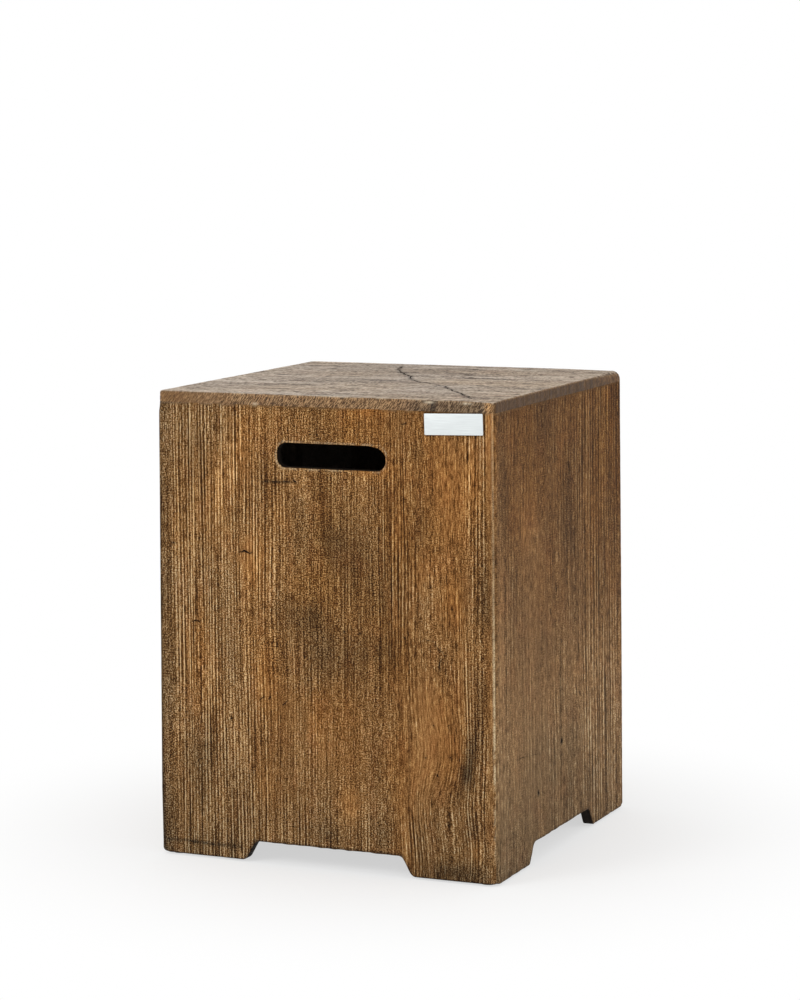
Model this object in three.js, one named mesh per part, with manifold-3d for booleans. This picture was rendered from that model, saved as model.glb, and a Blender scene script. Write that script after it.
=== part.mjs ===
// Propane tank cover table: a square cover, open at the bottom, that hides a 20 lb cylinder
// and serves as a side table. Four drafted wall panels meet in mitres, a top panel drops into
// them, and coves of casting compound join the pieces inside.
// Millimetres, +Z up, front face towards -Y, origin on the floor under the centre.

import * as THREE from 'three';
import { mergeVertices } from 'three/addons/utils/BufferGeometryUtils.js';
import Module from 'manifold-3d';

const wasm = await Module();
wasm.setup();

// Overall form
const overallHeight = 513;
const baseWidth = 400;
const draftPerSide = 3.5;
const cornerRadius = 7;
const rimRadius = 3;
const footEase = 1.5;

// Panels
const wallThickness = 12;
const topThickness = 12;
const registerDepth = 8;
const registerClearance = 1.5;
const insideCornerRadius = 2;
const jointGap = 0.3;

// Handle slots, front and back
const slotLength = 126;
const slotHeight = 26;
const slotCornerRadius = 11;
const slotRimRadius = 2;
const slotDrop = 64.5;
const frontSlotOffset = 9.5;

// Hose cut-outs, one between the feet of each wall
const notchTopWidth = 173;
const notchFootWidth = 197;
const notchHeight = 21.5;
const notchCornerEase = 5;
const frontNotchOffset = 2.5;
const rightNotchOffset = -5.5;

// Coves inside
const gussetLeg = 44;
const filletLeg = 16;

// Name plate and the tape behind it
const plateWidth = 66;
const plateHeight = 22.5;
const plateThickness = 0.8;
const plateCornerRadius = 1;
const plateEdgeEase = 0.2;
const plateSideMargin = 12.5;
const plateTopMargin = 13.4;
const tapeThickness = 0.4;
const tapeInset = 2;
const adhesiveGap = 0.15;

// Foot pads
const padHeight = 2;
const padDiameter = 20;
const padInset = 17;
const padEdgeEase = 0.5;

// How far a cutting tool runs past what it cuts
const overrun = 10;

// Facets in a quarter turn
const cornerFacets = 5;
const coveFacets = 6;
const rimFacets = 3;
const padFacets = 28;

// Places that follow from the sizes above
const footLevel = padHeight;
const wallTopLevel = overallHeight - topThickness - jointGap;
const registerLevel = overallHeight - topThickness - registerDepth;
const coveTopLevel = registerLevel - jointGap;
const slotLevel = overallHeight - slotDrop;
const notchTopLevel = footLevel + notchHeight;
const leanPerHeight = draftPerSide / (overallHeight - footLevel);
const draftAngle = Math.atan(leanPerHeight);

// Half the outer width at a height, and half the clear width between the walls
const outerHalf = (z) => baseWidth / 2 - leanPerHeight * (z - footLevel);
const innerHalf = (z) => outerHalf(z) - wallThickness;

// A ring is a rounded rectangle at one level: { level, halfX, halfY, radius }
function ringPoints({ level, halfX, halfY, radius }) {
  const points = [];
  for (let corner = 0; corner < 4; corner++) {
    const signX = corner === 0 || corner === 3 ? 1 : -1;
    const signY = corner < 2 ? 1 : -1;
    for (let step = 0; step <= cornerFacets; step++) {
      const angle = (corner + step / cornerFacets) * Math.PI / 2;
      const x = signX * (halfX - radius) + radius * Math.cos(angle);
      const y = signY * (halfY - radius) + radius * Math.sin(angle);
      points.push(new THREE.Vector3(x, y, level));
    }
  }
  return points;
}

// Closed solid through sections with the same number of points, lowest first
function loft(sections) {
  const count = sections[0].length;
  const positions = [];
  for (const section of sections) {
    for (const point of section) positions.push(point.x, point.y, point.z);
  }
  const faces = [];
  for (let row = 0; row + 1 < sections.length; row++) {
    for (let i = 0; i < count; i++) {
      const a = row * count + i;
      const b = row * count + (i + 1) % count;
      faces.push(a, b, b + count, a, b + count, a + count);
    }
  }
  const flat = sections[0].map((point) => new THREE.Vector2(point.x, point.y));
  const last = (sections.length - 1) * count;
  for (const [a, b, c] of THREE.ShapeUtils.triangulateShape(flat, [])) {
    faces.push(a, c, b);
    faces.push(last + a, last + b, last + c);
  }
  const geometry = new THREE.BufferGeometry();
  geometry.setAttribute('position', new THREE.Float32BufferAttribute(positions, 3));
  geometry.setIndex(faces);
  return geometry;
}

const loftRings = (rings) => loft(rings.map(ringPoints));

// Into a solid for joining and cutting, and back
function toSolid(geometry) {
  const bare = geometry.clone();
  bare.deleteAttribute('normal');
  bare.deleteAttribute('uv');
  const merged = mergeVertices(bare);
  return new wasm.Manifold(new wasm.Mesh({
    numProp: 3,
    vertProperties: new Float32Array(merged.attributes.position.array),
    triVerts: new Uint32Array(merged.index.array),
  }));
}

function toGeometry(solid) {
  const { vertProperties, triVerts } = solid.getMesh();
  const geometry = new THREE.BufferGeometry();
  geometry.setAttribute('position', new THREE.Float32BufferAttribute(vertProperties, 3));
  geometry.setIndex(Array.from(triVerts));
  return geometry;
}

// Outline whose corners are eased: each corner is { x, y, ease }
function easedOutline(corners) {
  const shape = new THREE.Shape();
  corners.forEach((corner, index) => {
    const before = corners[(index + corners.length - 1) % corners.length];
    const after = corners[(index + 1) % corners.length];
    const here = new THREE.Vector2(corner.x, corner.y);
    const start = new THREE.Vector2(before.x, before.y).sub(here).setLength(corner.ease).add(here);
    const end = new THREE.Vector2(after.x, after.y).sub(here).setLength(corner.ease).add(here);
    if (index === 0) shape.moveTo(start.x, start.y);
    else shape.lineTo(start.x, start.y);
    if (corner.ease > 0) shape.quadraticCurveTo(here.x, here.y, end.x, end.y);
  });
  shape.closePath();
  return shape;
}

// The whole outside as one drafted block, with a rounded rim and eased feet
function outerBlock() {
  const ring = (level, inset) => ({
    level,
    halfX: outerHalf(level) - inset,
    halfY: outerHalf(level) - inset,
    radius: cornerRadius,
  });
  const rings = [ring(footLevel, footEase), ring(footLevel + footEase, 0)];
  for (let step = 0; step <= rimFacets; step++) {
    const angle = step / rimFacets * Math.PI / 2;
    const level = overallHeight - rimRadius * (1 - Math.sin(angle));
    rings.push(ring(level, rimRadius * (1 - Math.cos(angle))));
  }
  return toSolid(loftRings(rings));
}

// The space between the walls, their faces parallel to the outside, less a gap all round
function innerCore(gap) {
  const ring = (level) => ({
    level,
    halfX: innerHalf(level) - gap,
    halfY: innerHalf(level) - gap,
    radius: insideCornerRadius - gap,
  });
  return toSolid(loftRings([ring(footLevel - overrun), ring(overallHeight + overrun)]));
}

// Quarter of the plan in front of the axis, between two mitre planes and two levels
function frontQuarter(lowLevel, highLevel) {
  const reach = baseWidth;
  const apex = jointGap / 2 * Math.SQRT2;
  const shape = new THREE.Shape([
    new THREE.Vector2(0, -apex),
    new THREE.Vector2(-reach, -apex - reach),
    new THREE.Vector2(reach, -apex - reach),
  ]);
  const geometry = new THREE.ExtrudeGeometry(shape, {
    depth: highLevel - lowLevel,
    bevelEnabled: false,
  });
  geometry.translate(0, 0, lowLevel);
  return toSolid(geometry);
}

// Tool for a handle slot through the front wall, with a rounded rim on both faces
function slotTool(offset) {
  const outerFace = outerHalf(slotLevel);
  const innerFace = innerHalf(slotLevel);
  const ring = (level, flare) => ({
    level,
    halfX: slotLength / 2 + flare,
    halfY: slotHeight / 2 + flare,
    radius: slotCornerRadius + flare,
  });
  const rim = [];
  for (let step = 0; step <= rimFacets; step++) {
    const angle = step / rimFacets * Math.PI / 2;
    rim.push({
      depth: slotRimRadius * (1 - Math.cos(angle)),
      flare: slotRimRadius * (1 - Math.sin(angle)),
    });
  }
  const rings = [
    ring(innerFace - overrun, slotRimRadius),
    ...rim.map(({ depth, flare }) => ring(innerFace + depth, flare)),
    ...rim.reverse().map(({ depth, flare }) => ring(outerFace - depth, flare)),
    ring(outerFace + overrun, slotRimRadius),
  ];
  const geometry = loftRings(rings);
  geometry.rotateX(Math.PI / 2);
  geometry.translate(offset, 0, slotLevel);
  return toSolid(geometry);
}

// Tool for the splayed cut-out between two feet of the front wall
function notchTool(offset) {
  const halfTop = notchTopWidth / 2;
  const halfFoot = notchFootWidth / 2;
  const halfOpen = halfFoot + notchCornerEase * 2;
  const below = footLevel - overrun;
  const shape = easedOutline([
    { x: -halfOpen, y: below, ease: 0 },
    { x: halfOpen, y: below, ease: 0 },
    { x: halfOpen, y: footLevel, ease: 0 },
    { x: halfFoot, y: footLevel, ease: notchCornerEase },
    { x: halfTop, y: notchTopLevel, ease: notchCornerEase },
    { x: -halfTop, y: notchTopLevel, ease: notchCornerEase },
    { x: -halfFoot, y: footLevel, ease: notchCornerEase },
    { x: -halfOpen, y: footLevel, ease: 0 },
  ]);
  const outerFace = outerHalf(footLevel);
  const innerFace = innerHalf(footLevel);
  const geometry = new THREE.ExtrudeGeometry(shape, {
    depth: outerFace - innerFace + overrun * 2,
    bevelEnabled: false,
    curveSegments: cornerFacets,
  });
  geometry.rotateX(Math.PI / 2);
  geometry.translate(offset, -(innerFace - overrun), 0);
  return toSolid(geometry);
}

const block = outerBlock();
const core = innerCore(0);
const coveSpace = innerCore(jointGap);

// A wall panel in the front position
function wallPanel({ hasSlot, slotOffset, notchOffset }) {
  let panel = block.intersect(frontQuarter(footLevel - overrun, wallTopLevel)).subtract(core);
  panel = panel.subtract(notchTool(notchOffset));
  if (hasSlot) panel = panel.subtract(slotTool(slotOffset));
  return toGeometry(panel);
}

// Top panel: the upper slice of the block, and a register under it that drops between the walls
function topPanel() {
  const seatLevel = overallHeight - topThickness;
  const blank = (level) => ({ level, halfX: baseWidth, halfY: baseWidth, radius: cornerRadius });
  const slab = toSolid(loftRings([blank(seatLevel), blank(overallHeight + overrun)]));
  const ring = (level) => ({
    level,
    halfX: innerHalf(level) - registerClearance,
    halfY: innerHalf(level) - registerClearance,
    radius: insideCornerRadius,
  });
  const register = toSolid(loftRings([ring(registerLevel), ring(seatLevel + topThickness / 2)]));
  return toGeometry(block.intersect(slab).add(register));
}

// Points of a concave quarter circle from one leg of a cove to the other, the corner at zero
function coveCurve(leg) {
  const points = [];
  for (let step = 0; step <= coveFacets; step++) {
    const angle = step / coveFacets * Math.PI / 2;
    points.push({ along: leg * (1 - Math.sin(angle)), across: leg * (1 - Math.cos(angle)) });
  }
  return points;
}

// Cove up an inside corner, in the front right position; it leans with the walls
function cornerGusset() {
  const section = (level) => {
    const reach = innerHalf(level);
    const curve = coveCurve(gussetLeg).map(({ along, across }) => (
      new THREE.Vector3(reach - along, across - reach, level)
    ));
    return [new THREE.Vector3(reach, -reach, level), ...curve.reverse()];
  };
  const cove = loft([section(footLevel), section(coveTopLevel - filletLeg - jointGap)]);
  return toGeometry(toSolid(cove).intersect(coveSpace));
}

// Cove under the top along the front wall, its ends cut to the mitres
function topFillet() {
  const shape = new THREE.Shape(coveCurve(filletLeg).map(({ along, across }) => {
    const level = coveTopLevel - across;
    return new THREE.Vector2(innerHalf(level) - along, level);
  }));
  shape.lineTo(innerHalf(coveTopLevel), coveTopLevel);
  shape.closePath();
  const geometry = new THREE.ExtrudeGeometry(shape, { depth: baseWidth, bevelEnabled: false });
  // The shape's x runs outwards along -Y, its y is the height, and the strip runs along X
  const outwards = new THREE.Vector3(0, -1, 0);
  const upwards = new THREE.Vector3(0, 0, 1);
  const alongWall = new THREE.Vector3().crossVectors(outwards, upwards);
  geometry.applyMatrix4(new THREE.Matrix4().makeBasis(outwards, upwards, alongWall));
  geometry.translate(-alongWall.x * baseWidth / 2, 0, 0);
  const strip = toSolid(geometry).intersect(coveSpace);
  return toGeometry(strip.intersect(frontQuarter(footLevel, wallTopLevel)));
}

// Flat plate with rounded corners and a fine eased edge, its back at zero and its face upwards
function thinPlate(width, height, thickness, edgeEase) {
  const ring = (level, inset) => ({
    level,
    halfX: width / 2 - inset,
    halfY: height / 2 - inset,
    radius: plateCornerRadius,
  });
  return loftRings([ring(0, 0), ring(thickness - edgeEase, 0), ring(thickness, edgeEase)]);
}

// Foot pad: a rubber disc with an eased lower edge
function footPad() {
  const radius = padDiameter / 2;
  const top = padHeight - jointGap;
  const profile = [
    new THREE.Vector2(0, 0),
    new THREE.Vector2(radius - padEdgeEase, 0),
    new THREE.Vector2(radius, padEdgeEase),
    new THREE.Vector2(radius, top),
    new THREE.Vector2(0, top),
  ];
  const geometry = new THREE.LatheGeometry(profile, padFacets);
  geometry.rotateX(Math.PI / 2);
  return geometry;
}

const finish = (color, roughness, metalness) => new THREE.MeshStandardMaterial({
  color,
  roughness,
  metalness,
});
const frontGrain = () => finish('#7f5c3a', 0.78, 0);
const sideGrain = () => finish('#765a40', 0.8, 0);
const topGrain = () => finish('#9a8a7a', 0.7, 0);
const coveCompound = () => finish('#5b5046', 0.9, 0);
const brushedMetal = () => finish('#c2c7c6', 0.35, 1);
const adhesiveFoam = () => finish('#2a2a2a', 0.9, 0);
const blackRubber = () => finish('#1c1c1c', 0.85, 0);

const cover = new THREE.Group();

function place(name, geometry, material, quarterTurns = 0) {
  const mesh = new THREE.Mesh(geometry, material);
  mesh.name = name;
  mesh.rotation.z = quarterTurns * Math.PI / 2;
  cover.add(mesh);
  return mesh;
}

// Walls, each built in the front position and turned to its side
const walls = [
  { side: 'front', hasSlot: true, slotOffset: frontSlotOffset, notchOffset: frontNotchOffset },
  { side: 'right', hasSlot: false, slotOffset: 0, notchOffset: rightNotchOffset },
  { side: 'back', hasSlot: true, slotOffset: 0, notchOffset: 0 },
  { side: 'left', hasSlot: false, slotOffset: 0, notchOffset: 0 },
];
walls.forEach((wall, turns) => {
  const material = turns % 2 === 0 ? frontGrain() : sideGrain();
  place(`${wall.side}_panel`, wallPanel(wall), material, turns);
  place(`top_fillet_${wall.side}`, topFillet(), coveCompound(), turns);
});

place('top_panel', topPanel(), topGrain());

// Corners: a cove and a foot pad each
const corners = ['front_right', 'back_right', 'back_left', 'front_left'];
const padReach = outerHalf(footLevel) - padInset;
corners.forEach((corner, turns) => {
  place(`corner_gusset_${corner}`, cornerGusset(), coveCompound(), turns);
  const pad = place(`foot_pad_${corner}`, footPad(), blackRubber(), turns);
  pad.position.set(padReach, -padReach, 0).applyAxisAngle(new THREE.Vector3(0, 0, 1), pad.rotation.z);
});

// Name plate on the front wall, leaning with it; the group's +Z points out of the wall
const plateLevel = overallHeight - plateTopMargin - plateHeight / 2;
const plateMount = new THREE.Group();
plateMount.position.set(
  outerHalf(plateLevel) - plateSideMargin - plateWidth / 2,
  -outerHalf(plateLevel),
  plateLevel,
);
plateMount.rotation.x = Math.PI / 2 - draftAngle;
cover.add(plateMount);

const tape = new THREE.Mesh(
  thinPlate(plateWidth - tapeInset * 2, plateHeight - tapeInset * 2, tapeThickness, 0),
  adhesiveFoam(),
);
tape.name = 'plate_tape';
tape.position.z = adhesiveGap;
plateMount.add(tape);

const plate = new THREE.Mesh(
  thinPlate(plateWidth, plateHeight, plateThickness, plateEdgeEase),
  brushedMetal(),
);
plate.name = 'name_plate';
plate.position.z = adhesiveGap + tapeThickness + adhesiveGap;
plateMount.add(plate);

export default cover;
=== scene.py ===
"""Propane tank cover table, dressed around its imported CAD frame.

A square cover cast in wood-textured mineral compound: four drafted walls, a tabletop plate, the
coves inside, a blank name plate and rubber foot pads. Shapes are worked out in millimetres and
written in metres, in the CAD frame.
"""

import math

import bmesh
import bpy
import numpy as np
from mathutils import Matrix, Vector


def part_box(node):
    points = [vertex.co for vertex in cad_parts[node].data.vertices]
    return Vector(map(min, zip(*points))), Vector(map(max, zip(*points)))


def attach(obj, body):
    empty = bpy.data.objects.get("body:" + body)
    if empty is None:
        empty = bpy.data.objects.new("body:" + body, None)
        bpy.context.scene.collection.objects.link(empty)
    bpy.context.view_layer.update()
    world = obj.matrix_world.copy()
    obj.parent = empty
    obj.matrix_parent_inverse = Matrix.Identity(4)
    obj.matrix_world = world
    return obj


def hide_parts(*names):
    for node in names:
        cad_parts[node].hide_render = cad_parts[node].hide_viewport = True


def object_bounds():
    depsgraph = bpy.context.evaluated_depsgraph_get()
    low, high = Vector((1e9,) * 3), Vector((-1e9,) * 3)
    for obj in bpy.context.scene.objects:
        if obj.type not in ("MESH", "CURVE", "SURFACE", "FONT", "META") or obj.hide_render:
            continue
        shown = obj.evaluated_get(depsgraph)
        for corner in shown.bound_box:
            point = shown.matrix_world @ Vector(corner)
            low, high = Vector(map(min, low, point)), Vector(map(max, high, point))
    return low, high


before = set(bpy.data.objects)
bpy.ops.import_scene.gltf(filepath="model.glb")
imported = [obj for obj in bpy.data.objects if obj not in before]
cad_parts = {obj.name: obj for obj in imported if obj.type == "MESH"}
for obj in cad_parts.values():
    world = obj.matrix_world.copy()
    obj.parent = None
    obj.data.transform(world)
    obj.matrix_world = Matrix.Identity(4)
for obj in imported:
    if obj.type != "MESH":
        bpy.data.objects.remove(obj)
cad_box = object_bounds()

bl_info = {
    "name": "Propane Tank Cover Table",
    "version": (1, 0, 0),
    "blender": (4, 5, 0),
    "location": "View3D > Sidebar > Tank Cover",
    "description": "Builds the cast walls, tabletop, coves, plate, pads and stage of a tank cover table",
    "category": "Object",
}

MM = 0.001

# Sizes, in millimetres

JOINT_GAP = 0.3
OVERALL_HEIGHT = cad_box[1].z / MM
BASE_HALF = cad_box[1].x / MM
FOOT_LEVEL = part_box("front_panel")[0].z / MM
TOP_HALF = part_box("top_panel")[1].x / MM
SEAM_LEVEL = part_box("front_panel")[1].z / MM + JOINT_GAP
REGISTER_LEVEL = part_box("top_panel")[0].z / MM
COVE_TOP_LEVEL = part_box("top_fillet_front")[1].z / MM
GUSSET_TOP_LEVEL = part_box("corner_gusset_front_right")[1].z / MM
DRAFT_PER_SIDE = 3.5
LEAN = DRAFT_PER_SIDE / (OVERALL_HEIGHT - FOOT_LEVEL)
WALL_THICKNESS = 12.0
CORNER_RADIUS = 7.0
INSIDE_CORNER_RADIUS = 2.0
SEAM_GAP = 0.04
MITRE_GAP = 0.03
REGISTER_CLEARANCE = 1.5
REGISTER_EASE = 0.8
GUSSET_LEG = 44.0
GUSSET_BACK = 1.2
FILLET_LEG = 16.0

PLATE_THICKNESS = 0.8
PLATE_EASE = 0.28
PLATE_BEVEL = 0.05
PLATE_TRIM = 0.02
PLATE_RADIUS = 1.0
PLATE_TURN = math.radians(1.6)
PLATE_LOW, PLATE_HIGH = (np.array(corner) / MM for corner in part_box("name_plate"))
PLATE_MIDDLE = (PLATE_LOW + PLATE_HIGH)[[0, 2]] / 2
PLATE_HALF = (PLATE_HIGH - PLATE_LOW)[[0, 2]] / 2

SLOT_LEVEL = 448.5
SLOT_HALF = (63.0, 13.0)
SLOT_RADIUS = 10.5
SLOT_RIM = 2.0
# A slot's cutter: how much of the rounding's growth its outline takes, how far it runs past both
# faces, and where across and up the cut-down corner fades in
SLOT_FLARE = 0.9
SLOT_OVERRUN = 6.0
DIP_ACROSS, DIP_UP = (42, 62), (0, 8)

NOTCH_FOOT_HALF = 98.5
NOTCH_TOP_HALF = 86.5
NOTCH_HEIGHT = 21.5
NOTCH_EASE = 5.0
NOTCH_RIM = 1.6
NOTCH_OVERRUN = 8.0
# A hair's breadth, by which two corners of a cut-out's outline lie off the foot
HAIR = 0.001
FOOT_CORNER_EASE = 5.0

# The corner at each wall's right end, seen from outside, by the wall's quarter turns
CORNERS = ("front_right", "back_right", "back_left", "front_left")
# Upright edges: the radius that each is filed to, what it gains at the foot, and the heights where
# the gain starts to fade and is gone. Just below the seam each goes over to the mould's radius.
FILED_EDGES = {
    "front_right": (CORNER_RADIUS, 2.5, 30, 220),
    "back_right": (CORNER_RADIUS, 0.8, 20, 200),
    "back_left": (CORNER_RADIUS, 0.8, 20, 200),
    "front_left": (4.0, 2.5, 10, 80),
}
FILED_BELOW = 14

# Rings up a wall: those of the eased foot by height and inset, then even ones up to near the seam
FOOT_RINGS = (0, 0.3, 0.8, 1.5, 2.5, 3.8)
FOOT_INSETS = (1.5, 0.75, 0.25, 0, 0, 0)
EVEN_START, EVEN_END = 5.4, 0.5
ARC_POINTS = 6
INNER_POINTS = 42
INNER_REACH = 0.985
MITRE_SHARES = (0.33, 0.67)
# Where the foot's inset goes over to the rounding of its corners, past half the width
FOOT_CORNER = (-11, -5)
# How far inside an upright edge the wall's own depth gives way to the corner's
CORNER_MARGIN = 3
# Points round a quarter of a rim and round an eased corner, and rings down the tabletop's side
RIM_POINTS, EASE_POINTS, SIDE_RINGS = 6, 7, 8
# How far below the CAD box the top stays, and where its grid gives way to the rounded edge
TOP_SKIM = 0.02
TOP_INSET = 4.0

# Brushed grain: pitch of the combed ridges, where a ridge starts to stand up on its sine wave, and
# the least and most depth behind the plain face
RIDGE_PITCH = 3.8
RIDGE_START = -0.2
SHALLOWEST, DEEPEST = 0.02, 1.3
# Cracks: step along one, least half width, how far the cutter stands out, its width at the bottom
CRACK_STEP = 1.3
CRACK_LEAST = 0.08
CRACK_RISE = 0.9
CRACK_TAPER = 0.55
# A cove's trowel marks go in at 45 degrees: this share of their depth along each axis
TROWEL_PUSH = 0.7

# Edges that turn more than this many degrees are kept crisp
CAST_SHARP, COVE_SHARP, PLATE_SHARP = 48, 40, 35

# First numbers of the noise on the tabletop, in its cracks and on the coves
TOP_SEED, TOP_CRACK_SEED, COVE_SEED = 71, 91, 101

# Kinds of noise: width and height of the cells in millimetres, the kind's own number, and its
# layers. Cells without an end are the same all the way up. On a wall the kinds from comb to broad
# are as wide as the wall's pitch says.
ENDLESS = math.inf
WALL_NOISE = {
    "stray": (110, 240, 0, 1),
    "fine_stray": (34, 90, 1, 1),
    "crisp": (26, 130, 2, 1),
    "bow": (11, 260, 3, 1),
    "comb": (3, 70, 21, 1),
    "streak": (1.9, 210, 4, 1),
    "fibre": (1.3, 60, 5, 1),
    "short": (1.3, 14, 6, 1),
    "broad": (7, 130, 7, 1),
    "fringe": (9, ENDLESS, 8, 1),
    "fine_fringe": (2.6, ENDLESS, 9, 1),
    "stain": (55, 100, 10, 3),
    "stain_lines": (6, 40, 14, 1),
    "stain_spots": (9, 14, 18, 3),
    "warmth": (30, 60, 15, 1),
    "patchy": (24, 40, 19, 3),
    "dips": (45, 60, 11, 3),
    "grit": (2.2, 4.5, 12, 1),
    "chips": (14, ENDLESS, 13, 1),
    "rubbed": (2, 4, 17, 1),
    "slot_rim": (7, 5, 20, 1),
    "slot_edge": (7, 7, 0, 1),
    "fine_slot_edge": (2.6, 2.6, 1, 1),
    "notch_edge": (8, 8, 0, 1),
    "fine_notch_edge": (2.8, 2.8, 1, 1),
}
TOP_NOISE = {
    "rim": (23, ENDLESS, 0, 1),
    "ragged": (3, 3, 1, 1),
    "wave": (17, 17, 2, 1),
    "side": (13, 6, 3, 3),
    "stray": (170, 110, 10, 1),
    "fine_stray": (60, 45, 11, 1),
    "broad": (16, 190, 12, 1),
    "streak": (7, 70, 13, 1),
    "fibre": (3.2, 36, 14, 1),
    "split": (5, 22, 15, 1),
    "split_here": (46, 40, 16, 1),
    "dips": (60, 50, 17, 3),
    "stain": (70, 60, 18, 3),
    "warmth": (80, 60, 19, 1),
    "rubbed": (14, ENDLESS, 21, 1),
    "fine_rubbed": (4, ENDLESS, 22, 1),
    "patchy": (50, 60, 23, 3),
    "upright": (3.2, 40, 24, 1),
}

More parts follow.
